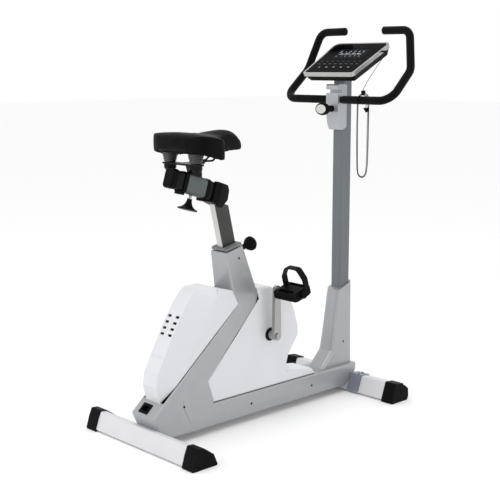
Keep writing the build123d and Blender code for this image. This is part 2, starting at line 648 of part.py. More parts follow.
def console_parts():
    """Base, silver band, face and keys of the console."""
    base = loft([console_outline(14, CONSOLE_DEPTH), console_outline(3, BEZEL_DEPTH)])
    face = extrude(console_outline(7, 0), amount=-BEZEL_DEPTH)
    band = extrude(console_outline(0, 0), amount=-BEZEL_DEPTH) - face
    plane = console_plane(0)
    face -= extrude(plane * Pos(150, 0) * RectangleRounded(74, 150, 4), amount=-2)
    keys = []
    for index in range(KEY_COUNT):
        y = (index - (KEY_COUNT - 1) / 2) * KEY_PITCH
        well = extrude(plane * Pos(44, y) * RectangleRounded(KEY_SIZE[1] + 1, KEY_SIZE[0] + 1, 3), amount=-6)
        face -= well
        top = RectangleRounded(KEY_SIZE[1], KEY_SIZE[0], 2.5)
        keys.append(extrude(plane.offset(-4) * Pos(44, y) * top, amount=5.2))
    socket = rod(jack_point(-12), jack_point(5), JACK_R)
    return base, band - socket, face - socket, keys


def jack_point(out):
    """Point on the pulse socket's axis, out of the console's right side."""
    plane = console_plane(BEZEL_DEPTH / 2)
    x = plane.origin.X + plane.x_dir.X * 176
    z = plane.origin.Z + plane.x_dir.Z * 176
    return Vector(x, -(CONSOLE_FAR_HALF - 2.9) - out, z)


# ---------------------------------------------------------------- pulse lead
def hank_plane():
    """Plane of the hanging loop, its X across the bar, its Y up."""
    turn = math.radians(HANK_TURN)
    across = Vector(math.cos(turn), -math.sin(turn), 0)
    return Plane((BAR_X, HANK_Y, BAR_Z), x_dir=across, z_dir=across.cross(Vector(0, 0, 1)))


def pulse_hank():
    """The wound lead hung over the bar, as one closed ring."""
    low = HANK_BOTTOM - BAR_Z + HANK_HALF + HANK_STRAND_R
    half = HANK_HALF
    loop = Line((-half, low), (-half, 0)) + ThreePointArc((-half, 0), (0, half), (half, 0))
    loop += Line((half, 0), (half, low)) + ThreePointArc((half, low), (0, low - half), (-half, low))
    path = Wire((hank_plane() * loop).edges())
    return sweep(Plane(path @ 0, z_dir=path % 0) * Circle(HANK_STRAND_R), path=path)


def tie_point():
    """Top of the loop, where the tie holds it."""
    return Vector(BAR_X, HANK_Y, BAR_Z + HANK_HALF)


def pulse_tie():
    """Small tie that gathers the lead above the bar, and the ear clip on the loop."""
    top = tie_point()
    body = block(top.X - 6, top.X + 6, top.Y - 5, top.Y + 5, top.Z - 3.5, top.Z + 14)
    return Compound([body - pulse_hank(), ear_clip()])


def pulse_lead():
    """Straight lead from the plug down to the tie, and the plug itself."""
    tube = rod(jack_point(16), tie_point() + Vector(0, 0, 14), CABLE_R)
    plug = rod(jack_point(0.5), jack_point(18), 3.5) + rod(jack_point(-10), jack_point(0.5), JACK_R)
    return tube - plug, plug


def ear_clip():
    """Ear clip held on the front strand of the loop below the bar."""
    jaws = Polyline((2, -28), (HANK_HALF, -26), (HANK_HALF, -40), (12, -44), close=True)
    return extrude(hank_plane() * make_face(jaws), amount=4, both=True) - pulse_hank()


# ---------------------------------------------------------------- crank and flywheel
def crank_axle():
    """Crank axle through the pulley and both arms, with the bolt heads on its ends."""
    end = ARM_INNER + ARM_THICK
    axle = rod((0, -end, CRANK_HEIGHT), (0, end, CRANK_HEIGHT), AXLE_R)
    for side in (-1, 1):
        axle += rod((0, side * end, CRANK_HEIGHT), (0, side * (end + 5), CRANK_HEIGHT), 11)
    return axle


def crank_pulley():
    """Large belt pulley with spokes cut out."""
    y0, y1 = BELT_Y - PULLEY_WIDTH / 2, BELT_Y + PULLEY_WIDTH / 2
    disc = ring((0, y0, CRANK_HEIGHT), (0, y1, CRANK_HEIGHT), PULLEY_R, AXLE_R)
    for index in range(5):
        angle = math.radians(index * 72)
        x, z = 62 * math.cos(angle), CRANK_HEIGHT + 62 * math.sin(angle)
        disc -= rod((x, y0, z), (x, y1, z), 24)
    return disc


def crank_arm(side):
    """Forged arm: the right one points up at rest, the left one down."""
    end = CRANK_HEIGHT + (CRANK_LENGTH if side < 0 else -CRANK_LENGTH)
    y0, y1 = sorted((side * ARM_INNER, side * (ARM_INNER + ARM_THICK)))
    outline = make_hull([*(Pos(0, CRANK_HEIGHT) * Circle(17)).edges(), *(Pos(0, end) * Circle(13)).edges()])
    arm = extrude(Plane((0, y1, 0), x_dir=(1, 0, 0), z_dir=(0, -1, 0)) * outline, amount=ARM_THICK)
    b0, b1 = sorted((side * 62, side * ARM_INNER))
    arm += rod((0, b0, CRANK_HEIGHT), (0, b1, CRANK_HEIGHT), 17)
    arm -= rod((0, -100, CRANK_HEIGHT), (0, 100, CRANK_HEIGHT), AXLE_R)
    arm -= rod((0, y0 - 1, end), (0, y1 + 1, end), SPINDLE_R)
    return arm


def pedal_spindle(side):
    """Spindle screwed into one arm."""
    z = CRANK_HEIGHT - side * CRANK_LENGTH
    spindle = rod((0, side * ARM_INNER, z), (0, side * (PEDAL_OUTER + 4), z), SPINDLE_R)
    return spindle + rod((0, side * (ARM_INNER + ARM_THICK), z), (0, side * 100, z), 10)


def pedal(side):
    """Pedal body, dust cap and toe strap on one spindle."""
    z = CRANK_HEIGHT - side * CRANK_LENGTH
    y0, y1 = sorted((side * PEDAL_INNER, side * PEDAL_OUTER))
    half_l, half_h = PEDAL_LENGTH / 2, PEDAL_HEIGHT / 2
    body = side_prism([(-half_l, z - half_h + 5), (-half_l, z + half_h - 3), (-half_l + 6, z + half_h),
                       (half_l - 6, z + half_h), (half_l, z + half_h - 3), (half_l, z - half_h + 5),
                       (half_l - 14, z - half_h), (-half_l + 14, z - half_h)], y0, y1)
    for x in (-28.0, 28.0):
        body -= block(x - 9, x + 9, y0 + 14, y1 - 14, z - 30, z + 30)
    body -= rod((0, y0 - 1, z), (0, y1 + 1, z), SPINDLE_R + RUN_GAP)
    cap0, cap1 = side * PEDAL_OUTER, side * (PEDAL_OUTER + 12)
    cap = rod((0, cap0, z), (0, cap1, z), 13)
    cap -= rod((0, cap0, z), (0, side * (PEDAL_OUTER + 4.5), z), SPINDLE_R + RUN_GAP)
    strap_plane = Plane((STRAP_X, (y0 + y1) / 2, z + half_h - 3), x_dir=(0, 1, 0), z_dir=(1, 0, 0))
    half_w = (PEDAL_OUTER - PEDAL_INNER) / 2
    outer = Polyline((-half_w - STRAP_THICK, -6), (-half_w - STRAP_THICK, 34), (-half_w + 16, STRAP_RISE),
                     (half_w - 16, STRAP_RISE), (half_w + STRAP_THICK, 34), (half_w + STRAP_THICK, -6), close=True)
    inner = Polyline((-half_w, -6), (-half_w, 33.5), (-half_w + 17, STRAP_RISE - STRAP_THICK),
                     (half_w - 17, STRAP_RISE - STRAP_THICK), (half_w, 33.5), (half_w, -6), close=True)
    arch = make_face(outer) - make_face(inner)
    strap = extrude(strap_plane * arch, amount=STRAP_WIDTH / 2, both=True)
    tilt = Pos(0, 0, z) * Rot(0, -PEDAL_TILT, 0) * Pos(0, 0, -z)
    return tilt * body, tilt * cap, tilt * strap


def flywheel():
    """Flywheel disc with its axle and small pulley."""
    y0, y1 = FLYWHEEL_SIDE, FLYWHEEL_SIDE + FLYWHEEL_WIDTH
    disc = rod((FLYWHEEL_X, y0, FLYWHEEL_Z), (FLYWHEEL_X, y1, FLYWHEEL_Z), FLYWHEEL_R)
    disc -= ring((FLYWHEEL_X, y0, FLYWHEEL_Z), (FLYWHEEL_X, y0 + 9, FLYWHEEL_Z), 85, 24)
    disc -= ring((FLYWHEEL_X, y1 - 9, FLYWHEEL_Z), (FLYWHEEL_X, y1, FLYWHEEL_Z), 85, 24)
    axle = rod((FLYWHEEL_X, PLATE_YS[0][0], FLYWHEEL_Z), (FLYWHEEL_X, PLATE_YS[1][1], FLYWHEEL_Z), 6)
    axle += rod((FLYWHEEL_X, BELT_Y - PULLEY_WIDTH / 2, FLYWHEEL_Z),
                (FLYWHEEL_X, BELT_Y + PULLEY_WIDTH / 2, FLYWHEEL_Z), SMALL_PULLEY_R)
    return disc + axle


def drive_belt():
    """Flat band round both pulleys, a hair clear of them."""
    def band(extra):
        big = Pos(0, CRANK_HEIGHT) * Circle(PULLEY_R + SLIDE_GAP + extra)
        small = Pos(FLYWHEEL_X, FLYWHEEL_Z) * Circle(SMALL_PULLEY_R + SLIDE_GAP + extra)
        return make_hull([*big.edges(), *small.edges()])
    face = band(BELT_THICK) - band(0)
    edge = Plane((0, BELT_Y + BELT_WIDTH / 2, 0), x_dir=(1, 0, 0), z_dir=(0, -1, 0))
    return extrude(edge * face, amount=BELT_WIDTH)


def brake_magnet():
    """Electromagnet whose jaws reach round the flywheel's rim, with its foot on the side plate."""
    x, z = FLYWHEEL_X - 20, FLYWHEEL_Z - FLYWHEEL_R
    low, high = FLYWHEEL_SIDE - MAGNET_GAP, FLYWHEEL_SIDE + FLYWHEEL_WIDTH + MAGNET_GAP
    jaws = block(x - 24, x + 24, low - JAW_THICK, high + JAW_THICK, z - 22, z + 22)
    jaws -= block(x - 25, x + 25, low, high, z - 8, z + 23)
    foot = block(x - 14, x + 14, low - JAW_THICK, high - 2, 96, z - 22)
    return jaws + foot


# ---------------------------------------------------------------- seat
def seat_post():
    """Seat post with its row of pin holes in the front wall."""
    post = post_section(POST_DEPTH, POST_WIDTH, POST_WALL, -POST_LENGTH_IN, POST_LENGTH_IN + POST_LENGTH_OUT)
    for index in range(-3, 7):
        spot = PIN_PLACE - index * PIN_HOLE_PITCH
        post -= rod(on_lean_3d(spot, POST_DEPTH / 2 - 6), on_lean_3d(spot, POST_DEPTH / 2 + 6), PIN_R + 0.4)
    return post - slide_bar(-RAIL_BACK, HEAD_FRONT + 40, RAIL_WIDTH, RAIL_HEIGHT, 10)


def slide_rail():
    """Black rail tube welded on the post."""
    return slide_bar(-RAIL_BACK, RAIL_FRONT, RAIL_WIDTH, RAIL_HEIGHT, 10) - slide_bar(
        -RAIL_BACK, RAIL_FRONT, RAIL_WIDTH - 6, RAIL_HEIGHT - 6, 7)


def rail_covers():
    """Black cap on the rail's rear end, and black cover over its front end and the top of the post."""
    cap = slide_bar(-RAIL_BACK - 24, -RAIL_BACK, SLEEVE_WIDTH, SLEEVE_HEIGHT, 13)
    cap = fillet(cap.faces().sort_by(Axis.X)[0].edges(), 8)
    return Compound([cap, head_cover()])


def head_cover():
    """Cover over the top of the post, with a tapered nose."""
    corners = [on_slide(HEAD_BACK, 35), on_slide(HEAD_BACK + 60, 35), on_slide(HEAD_FRONT, 20),
               on_slide(HEAD_FRONT + 4, -14), on_slide(HEAD_BACK + 52, -46), on_slide(HEAD_BACK, -38)]
    body = side_prism(corners, -27, 27, 5)
    nose = slide_plane(HEAD_BACK)
    plan = Plane(nose.origin, x_dir=nose.z_dir, z_dir=nose.y_dir) * make_face(
        Polyline((-5, -27), (-5, 27), (30, 27), (HEAD_FRONT - HEAD_BACK + 6, 15), (HEAD_FRONT - HEAD_BACK + 6, -15),
                 (30, -27), close=True))
    body &= extrude(plan, amount=90, both=True)
    body -= slide_bar(0, RAIL_FRONT, RAIL_WIDTH, RAIL_HEIGHT, 10)
    return body - post_section(POST_DEPTH, POST_WIDTH, 0, 60, 200)


def carriage_sleeve():
    """Grey aluminium sleeve that slides on the rail."""
    sleeve = slide_bar(-SLEEVE_HALF, SLEEVE_HALF, SLEEVE_WIDTH, SLEEVE_HEIGHT, 13) - slide_bar(
        -SLEEVE_HALF, SLEEVE_HALF, RAIL_WIDTH + 2 * SLIDE_GAP, RAIL_HEIGHT + 2 * SLIDE_GAP, 10 + SLIDE_GAP)
    return sleeve - rod(knob_point(RAIL_HEIGHT / 2), knob_point(SLEEVE_HEIGHT), KNOB_STEM_R + RUN_GAP)


def knob_point(down):
    """Point under the sleeve on the clamp knob's axis."""
    x, z = on_slide(0, -down)
    return Vector(x, 0, z)


def carriage_collars():
    """Black plastic guides on both ends of the sleeve, with their lips below."""
    collars = []
    for start in (-SLEEVE_HALF - COLLAR_LENGTH, SLEEVE_HALF):
        body = slide_bar(start, start + COLLAR_LENGTH, SLEEVE_WIDTH + 3, SLEEVE_HEIGHT + 3, 14)
        lip = side_prism([on_slide(start, -25), on_slide(start + COLLAR_LENGTH, -25),
                          on_slide(start + COLLAR_LENGTH, -42), on_slide(start, -42)], -17, 17)
        hole = slide_bar(start, start + COLLAR_LENGTH, RAIL_WIDTH + 2 * SLIDE_GAP,
                         RAIL_HEIGHT + 2 * SLIDE_GAP, 10.3)
        collars.append(body + lip - hole)
    return Compound(collars)


def carriage_knob():
    """Trumpet knob with its threaded stem, which presses on the rail from below."""
    plane = Plane(knob_point(0), x_dir=(0, 1, 0), z_dir=knob_point(1) - knob_point(0))
    top = RAIL_HEIGHT / 2 + SLIDE_GAP
    stem = revolve_on(plane, Polyline((0, top), (KNOB_STEM_R, top), (KNOB_STEM_R, 46), (0, 46), close=True))
    outline = Polyline((0, 46), (9, 46)) + ThreePointArc((9, 46), (15, 68), (34, 80)) + Polyline(
        (34, 80), (34, 84), (0, 84), (0, 46))
    return stem + revolve_on(plane, outline)


def saddle_bracket():
    """Steel bracket on the sleeve with the spring cups under it and the wires to the nose."""
    foot = side_prism([on_slide(-20, SLEEVE_HEIGHT / 2 - 3), on_slide(20, SLEEVE_HEIGHT / 2 - 3),
                       (-280, PLATE_TOP - 6), (-330, PLATE_TOP - 6)], -14, 14)
    foot -= slide_bar(-SLEEVE_HALF, SLEEVE_HALF, SLEEVE_WIDTH, SLEEVE_HEIGHT, 13)
    spine = block(SPRING_X - 16, -276, -24, 24, PLATE_TOP - 6, PLATE_TOP)
    wing = block(SPRING_X - 17, SPRING_X + 17, -SPRING_Y - 20, SPRING_Y + 20, PLATE_TOP - 6, PLATE_TOP)
    return foot + spine + wing + spring_cups() + saddle_rails()


def saddle_springs():
    """Two ribbed elastomer springs."""
    height = SHELL_LOW_Z - PLATE_TOP
    outline = Polyline((0, 0), (19, 0), (23, 8), (19, 12), (23, 17), (20, 21), (26, 28), (26, height),
                       (0, height), close=True)
    return Compound([revolve_on(Plane((SPRING_X, y, PLATE_TOP), z_dir=(0, 0, 1)), outline)
                     for y in (-SPRING_Y, SPRING_Y)])


def spring_cups():
    """Cups of the springs under the bracket's wings."""
    cups = []
    for y in (-SPRING_Y, SPRING_Y):
        plane = Plane((SPRING_X, y, PLATE_TOP - 6), z_dir=(0, 0, -1))
        cups.append(revolve_on(plane, Polyline((0, 0), (21, 0), (21, 12), (15, 21), (6, 24), (0, 24), close=True)))
    return sum_of(cups)


def saddle_rails():
    """Two wires from the bracket forward to the nose."""
    wires = []
    for side in (-1, 1):
        path = Wire(FilletPolyline((-300, side * 18, PLATE_TOP + 2), (-236, side * 18, PLATE_TOP + 2),
                                   (-205, side * 17, SHELL_LOW_Z - 8), (-205, side * 17, SHELL_LOW_Z),
                                   radius=8).edges())
        wires.append(sweep(Plane(path @ 0, z_dir=path % 0) * Circle(3.5), path=path))
    return sum_of(wires)


def saddle_plan(shrink, low, high, back=0.0):
    """Prism over the saddle's plan: wide lobes at the back, rounded nose at the front."""
    half = SADDLE_HALF - shrink
    points = [(SADDLE_BACK + shrink, 0), (SADDLE_BACK + shrink + back, 70), (-362, half), (-290, half), (-258, 84),
              (-222, 44), (-170, 31 - shrink / 2), (SADDLE_NOSE - 24, 27 - shrink / 2), (SADDLE_NOSE - shrink, 10)]
    outline = points[1:] + [(x, -y) for x, y in reversed(points[1:])]
    wire = Wire(FilletPolyline(*[(x, y, low) for x, y in outline], radius=8, close=True).edges())
    return extrude(Face(wire), amount=high - low, dir=(0, 0, 1))


def saddle_shell():
    """Plastic base of the saddle."""
    return saddle_plan(12, SHELL_LOW_Z, SHELL_LOW_Z + SHELL_THICK)


def saddle_cushion():
    """Soft cushion with its skirt round the base."""
    body = saddle_plan(0, SADDLE_BOTTOM - 14, SADDLE_TOP)
    top_edges = body.faces().sort_by(Axis.Z)[-1].edges()
    body = fillet(top_edges, 7)
    return body - saddle_plan(12, SADDLE_BOTTOM - 15, SHELL_LOW_Z + SHELL_THICK)


def cover_screws():
    """Dark screw heads on the sides of the frame covers."""
    heads = []
    for x, z in ((-97, 67), (215, 67), (-407, 125)):
        for side in (-1, 1):
            heads.append(rod((x, side * COVER_HALF, z), (x, side * (COVER_HALF + 1.2), z), 4))
    return Compound(heads)


# ---------------------------------------------------------------- assembly
def build():
    """All sub-parts by node name."""
    nodes = {"main_frame": main_frame(), "bearings": bearings(), "seat_tube_collar": seat_collar()}
    nodes["frame_cover_right"], nodes["frame_cover_left"] = frame_covers()
    shells = white_shells()
    names = ("front_shell_right", "front_shell_left", "rear_shell_right", "rear_shell_left")
    nodes.update(zip(names, shells))
    nodes["cover_screws"] = cover_screws()
    nodes["power_inlet"] = power_inlet()
    nodes["rear_stabilizer"] = rear_stabilizer()
    nodes["front_stabilizer"] = front_stabilizer()
    nodes["rear_caps"] = rear_caps()
    nodes["front_caps"] = front_caps()
    nodes["roller_right"] = roller(-1)
    nodes["roller_left"] = roller(1)
    nodes["front_saddles"] = front_saddles()
    nodes["handlebar_post"] = handlebar_post()
    nodes["mast_cover_lower"], nodes["mast_cover_upper"] = mast_covers()
    nodes["post_head"] = post_head()
    nodes["handlebar_knob"] = handlebar_knob()
    nodes["handlebar_tube"] = handlebar_tube()
    nodes["grip_right"] = grip(-1)
    nodes["grip_left"] = grip(1)
    base, band, face, keys = console_parts()
    nodes.update(console_base=base, console_bezel=band, console_face=face)
    for index, key in enumerate(keys):
        nodes[f"key_{index + 1}"] = key
    nodes["pulse_lead"], nodes["pulse_plug"] = pulse_lead()
    nodes["pulse_hank"] = pulse_hank()
    nodes["pulse_clips"] = pulse_tie()
    nodes["crank_axle"] = crank_axle()
    nodes["crank_pulley"] = crank_pulley()
    nodes["crank_arm_right"] = crank_arm(-1) + pedal_spindle(-1)
    nodes["crank_arm_left"] = crank_arm(1) + pedal_spindle(1)
    for side, name in ((-1, "right"), (1, "left")):
        nodes[f"pedal_{name}"], cap, nodes[f"strap_{name}"] = pedal(side)
        nodes[f"pedal_{name}"] += cap
    nodes["flywheel"] = flywheel()
    nodes["drive_belt"] = drive_belt()
    nodes["brake_magnet"] = brake_magnet()
    nodes["seat_post"] = seat_post()
    nodes["slide_rail"] = slide_rail()
    nodes["rail_covers"] = rail_covers()
    nodes["height_pin"] = height_pin()
    nodes["carriage_sleeve"] = carriage_sleeve()
    nodes["carriage_collars"] = carriage_collars()
    nodes["carriage_knob"] = carriage_knob()
    nodes["saddle_bracket"] = saddle_bracket()
    nodes["saddle_springs"] = saddle_springs()
    nodes["saddle_shell"] = saddle_shell()
    nodes["saddle_cushion"] = saddle_cushion()
    return nodes


os.makedirs("parts", exist_ok=True)
for name, shape in build().items():
    export_step(shape, f"parts/{name}.step")
    print(name, len(shape.solids()), round(shape.volume))
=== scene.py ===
"""Finished look of an upright exercise bike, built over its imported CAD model.

Everything is in metres in the model's frame: +X points forward to the handlebar, +Y to the rider's left
and +Z up, with the origin on the floor under the crank axis.
"""

from __future__ import annotations

import json
import logging
import math
from dataclasses import dataclass
from enum import Enum
from typing import Any, Iterable, Sequence

import bmesh
import bpy
from mathutils import Matrix, Vector

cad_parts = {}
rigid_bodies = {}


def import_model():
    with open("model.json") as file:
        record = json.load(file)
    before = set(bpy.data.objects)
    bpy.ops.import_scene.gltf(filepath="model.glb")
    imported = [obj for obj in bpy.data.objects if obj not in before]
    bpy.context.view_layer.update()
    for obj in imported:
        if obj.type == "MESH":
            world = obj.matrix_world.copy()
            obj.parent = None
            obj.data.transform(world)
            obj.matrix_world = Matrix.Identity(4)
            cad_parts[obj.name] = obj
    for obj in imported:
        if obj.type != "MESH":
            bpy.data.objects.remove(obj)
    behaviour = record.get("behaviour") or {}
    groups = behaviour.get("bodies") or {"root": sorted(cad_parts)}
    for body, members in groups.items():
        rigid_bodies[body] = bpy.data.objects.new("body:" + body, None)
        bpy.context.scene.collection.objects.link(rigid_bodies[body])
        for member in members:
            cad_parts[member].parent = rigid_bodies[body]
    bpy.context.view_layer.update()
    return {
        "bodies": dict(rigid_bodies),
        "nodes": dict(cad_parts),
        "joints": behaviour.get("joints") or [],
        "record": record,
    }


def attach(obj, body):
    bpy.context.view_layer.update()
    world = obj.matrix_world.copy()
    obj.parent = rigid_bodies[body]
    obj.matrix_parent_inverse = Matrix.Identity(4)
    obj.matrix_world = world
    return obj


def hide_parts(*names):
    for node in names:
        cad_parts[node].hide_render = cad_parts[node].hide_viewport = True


LOG = logging.getLogger("exercise_bike")
MM = 0.001


# ---------------------------------------------------------------- finishes
def linear(colour: str) -> tuple[float, float, float, float]:
    """Turn an sRGB hex colour into linear RGBA.

    Args:
        colour: Six hex digits with a leading hash.

    Returns:
        The linear colour with full alpha.
    """
    parts = [int(colour[i : i + 2], 16) / 255 for i in (1, 3, 5)]
    values = [c / 12.92 if c <= 0.04045 else ((c + 0.055) / 1.055) ** 2.4 for c in parts]
    return (values[0], values[1], values[2], 1.0)


def add_node(tree: bpy.types.NodeTree, kind: str, inputs: dict[Any, Any] | None = None,
             **settings: Any) -> bpy.types.Node:
    """Add a shader node with its settings, values and links.

    Args:
        tree: Node tree of the material.
        kind: Node type, without the ShaderNode prefix.
        inputs: Input name or index to a value, or to the output socket that feeds it.
        **settings: Node attributes.

    Returns:
        The new node.
    """
    node = tree.nodes.new("ShaderNode" + kind)
    for name, value in settings.items():
        setattr(node, name, value)
    for key, value in (inputs or {}).items():
        if isinstance(value, bpy.types.NodeSocket):
            tree.links.new(value, node.inputs[key])
        else:
            node.inputs[key].default_value = value
    return node


class Relief(Enum):
    """Kinds of surface relief that a finish can carry."""

    NONE = "none"
    ORANGE_PEEL = "orange peel of sprayed paint"
    SPARK_ERODED = "fine grain of a spark-eroded mould"
    LEATHER = "embossed leather grain"
    FOAM = "open skin of moulded foam"
    BRUSHED = "fine lines of a brushing belt"
    TURNED = "rings of a turned face"


@dataclass(frozen=True)
class Finish:
    """One real material with the way its surface was made.

    The grain is the spacing of the relief in millimetres and the depth its height.
    """

    name: str
    colour: str
    second: str
    roughness: float
    metallic: float = 0.0
    ior: float = 1.5
    coat: float = 0.0
    relief: Relief = Relief.NONE
    grain: float = 1.0
    depth: float = 0.02
    patch: float = 60.0
    sheen: float = 0.0
    specular: float = 0.5
    lines: tuple[float, float, float] = (1.0, 1.0, 1.0)

    def build(self) -> bpy.types.Material:
        """Make the material's node tree and return the material."""
        material = bpy.data.materials.new(self.name)
        material.use_nodes = True
        tree = material.node_tree
        tree.nodes.clear()
        where = add_node(tree, "TexCoord").outputs["Object"]
        mottle = add_node(tree, "TexNoise", {"Vector": where, "Scale": 1 / (self.patch * MM), "Detail": 4.0})
        colours = {"Factor": mottle.outputs["Fac"], 6: linear(self.colour), 7: linear(self.second)}
        tone = add_node(tree, "Mix", colours, data_type="RGBA")
        spread = {"Value": mottle.outputs["Fac"], "From Min": 0.3, "From Max": 0.7,
                  "To Min": self.roughness * 0.9, "To Max": min(1.0, self.roughness * 1.12)}
        wear = add_node(tree, "MapRange", spread)
        shader = add_node(tree, "BsdfPrincipled", {
            "Base Color": tone.outputs[2], "Roughness": wear.outputs[0], "Metallic": self.metallic,
            "IOR": self.ior, "Specular IOR Level": self.specular, "Coat Weight": self.coat,
            "Coat Roughness": 0.06, "Sheen Weight": self.sheen, "Sheen Roughness": 0.4})
        if self.relief is not Relief.NONE:
            height = self.height(tree, where)
            bump = add_node(tree, "Bump", {"Height": height, "Strength": 1.0, "Distance": self.depth * MM})
            tree.links.new(bump.outputs[0], shader.inputs["Normal"])
        output = add_node(tree, "OutputMaterial", {"Surface": shader.outputs[0]})
        output.is_active_output = True
        return material

    def height(self, tree: bpy.types.NodeTree, where: bpy.types.NodeSocket) -> bpy.types.NodeSocket:
        """Add the relief's pattern.

        Args:
            tree: Node tree of the material.
            where: Socket with the point on the object, in metres.

        Returns:
            Socket with the height from 0 to 1.
        """
        scale = 1 / (self.grain * MM)
        if self.relief is Relief.LEATHER:
            cells = add_node(tree, "TexVoronoi", {"Vector": where, "Scale": scale, "Randomness": 1.0},
                             feature="DISTANCE_TO_EDGE")
            crease = add_node(tree, "MapRange", {"Value": cells.outputs["Distance"], "From Max": 0.16})
            fine = add_node(tree, "TexNoise", {"Vector": where, "Scale": scale * 2.6, "Detail": 2.0})
            both = add_node(tree, "Math", {0: crease.outputs[0], 1: fine.outputs["Fac"]}, operation="MULTIPLY")
            return both.outputs[0]
        if self.relief in (Relief.BRUSHED, Relief.TURNED):
            stretched = add_node(tree, "Mapping", {"Vector": where, "Scale": self.lines})
            lines = add_node(tree, "TexNoise", {"Vector": stretched.outputs[0], "Scale": scale, "Detail": 3.0})
            return lines.outputs["Fac"]
        detail = 5.0 if self.relief is Relief.FOAM else 2.0
        return add_node(tree, "TexNoise", {"Vector": where, "Scale": scale, "Detail": detail}).outputs["Fac"]


# Silver-grey two-layer car paint on moulded ABS covers: soft metallic sheen under a clear coat.
SILVER_PAINT = Finish("silver_painted_abs", "#A5A6A8", "#9FA0A3", 0.36, metallic=0.55, coat=0.25,
                      relief=Relief.ORANGE_PEEL, grain=3.0, depth=0.012)
# Polished white ABS shells: bright, even, with a clear reflection of the lights.
WHITE_ABS = Finish("polished_white_abs", "#D4D5D8", "#CECFD2", 0.16, ior=1.53, coat=0.3,
                   relief=Relief.ORANGE_PEEL, grain=14.0, depth=0.02, patch=120.0)
# White powder coat on the steel cross tubes: a shade greyer than the shells and softer in gloss.
WHITE_POWDER = Finish("white_powder_coat", "#D2D2D5", "#CCCCCF", 0.34, relief=Relief.ORANGE_PEEL, grain=1.6,
                      depth=0.03)
# Steel-grey metallic powder coat on the upright post: dull metal look.
POST_PAINT = Finish("grey_metallic_powder_coat", "#6E7477", "#696F72", 0.4, metallic=0.6,
                    relief=Relief.ORANGE_PEEL, grain=1.4, depth=0.02)
# Blue-grey paint on the pressed saddle plates of the front cross tube.
SADDLE_PLATE_PAINT = Finish("blue_grey_enamel", "#858A97", "#7C818E", 0.38, metallic=0.35,
                            relief=Relief.ORANGE_PEEL, grain=1.6, depth=0.02)
# Black nylon with a fine spark-eroded grain: end caps, knobs, collars.
BLACK_NYLON = Finish("grained_black_nylon", "#0F0F10", "#0B0B0C", 0.5, relief=Relief.SPARK_ERODED, grain=0.9,
                     depth=0.05, specular=0.05)
# Smoother black ABS of the slide's covers and the console's base.
BLACK_ABS = Finish("satin_black_abs", "#0D0D0E", "#0A0A0B", 0.33, relief=Relief.SPARK_ERODED, grain=0.8,
                   depth=0.02, specular=0.05)
# Black acrylic of the console's face with an anti-glare coat: almost no reflection.
BLACK_ACRYLIC = Finish("gloss_black_acrylic", "#050506", "#040405", 0.16, ior=1.49, patch=200.0,
                       specular=0.01)
# NBR foam of the grips: dark, dry, with an open skin.
NBR_FOAM = Finish("moulded_nbr_foam", "#0E0E0F", "#0A0A0B", 0.78, relief=Relief.FOAM, grain=1.1, depth=0.12,
                  sheen=0.15, specular=0.05)
# Black EPDM rubber of the springs, straps and rollers.
EPDM_RUBBER = Finish("black_epdm_rubber", "#151516", "#101011", 0.46, relief=Relief.SPARK_ERODED, grain=1.2,
                     depth=0.04, specular=0.05)
# Polyurethane leather of the saddle cover, with embossed grain.
PU_LEATHER = Finish("black_pu_leather", "#0C0B0C", "#080808", 0.44, relief=Relief.LEATHER, grain=1.8,
                    depth=0.12,
                    patch=40.0, specular=0.05)
# Chrome plate on the forged crank arms.
CHROME = Finish("chrome_plate", "#A9A9A7", "#9C9C9A", 0.16, metallic=1.0, patch=30.0)
# Brushed anodised aluminium of the seat post with painted shade: coloured dark all over, as dark as its shaded
# sides.
POST_ALUMINIUM_PAINTED_SHADE = Finish("brushed_aluminium_painted_side_shade", "#4A4B49", "#434442", 0.34, metallic=0.9,
                        relief=Relief.BRUSHED, grain=1.2, depth=0.015, lines=(1.0, 1.0, 0.04))
# Brushed aluminium with a painted highlight: a bright strip on the back of the seat post stands in for the light
# on its back face.
BACK_HIGHLIGHT_ALUMINIUM = Finish("brushed_aluminium_painted_highlight", "#C9C9C7", "#BDBDBB", 0.3, metallic=0.8,
                         relief=Relief.BRUSHED, grain=1.2, depth=0.01, lines=(1.0, 1.0, 0.04))
# Dark grey anodised extrusion of the slide's sleeve.
SLEEVE_ALUMINIUM = Finish("grey_anodised_aluminium", "#5E6463", "#565C5B", 0.42, metallic=0.75,
                          relief=Relief.SPARK_ERODED, grain=0.7, depth=0.02)
# Silver lacquer on the console's band.
BEZEL_LACQUER = Finish("silver_lacquered_abs", "#B4B4B3", "#A8A8A7", 0.26, metallic=0.85, coat=0.3)
# Bare steel with black oxide: bearings and screws.
OXIDE_STEEL = Finish("black_oxide_steel", "#2E2E30", "#232325", 0.38, metallic=0.8)
# Black enamel on steel brackets and the slide's rail.
BLACK_ENAMEL = Finish("black_enamelled_steel", "#0C0C0D", "#09090A", 0.3, coat=0.2, relief=Relief.ORANGE_PEEL,
                      grain=1.5, depth=0.02, specular=0.05)
# Zinc-plated steel of stems and screws: cool grey, a little cloudy.
ZINC_STEEL = Finish("zinc_plated_steel", "#B9BBBC", "#A4A6A8", 0.3, metallic=1.0, patch=8.0)
# Turned cast iron of the flywheel.
CAST_IRON = Finish("turned_cast_iron", "#6E6E70", "#5C5C5E", 0.42, metallic=0.9, relief=Relief.TURNED,
                   grain=1.5, depth=0.02, lines=(1.0, 0.05, 1.0))
# Grey liquid-crystal glass of the display.
LCD_GLASS = Finish("display_glass", "#14181C", "#101417", 0.16, ior=1.5, patch=90.0, specular=0.01)
# Pale printed marks on keys and display.
PRINT_PALE = Finish("pale_screen_print", "#B9BEC4", "#A9AEB4", 0.5)
# Thin PVC sheath of the pulse lead.
PVC_SHEATH = Finish("black_pvc_sheath", "#0A0A0B", "#070708", 0.42, patch=15.0, specular=0.05)
# Lighter grey print beside the keys.
PRINT_GREY = Finish("grey_screen_print", "#6D7073", "#64676A", 0.5)
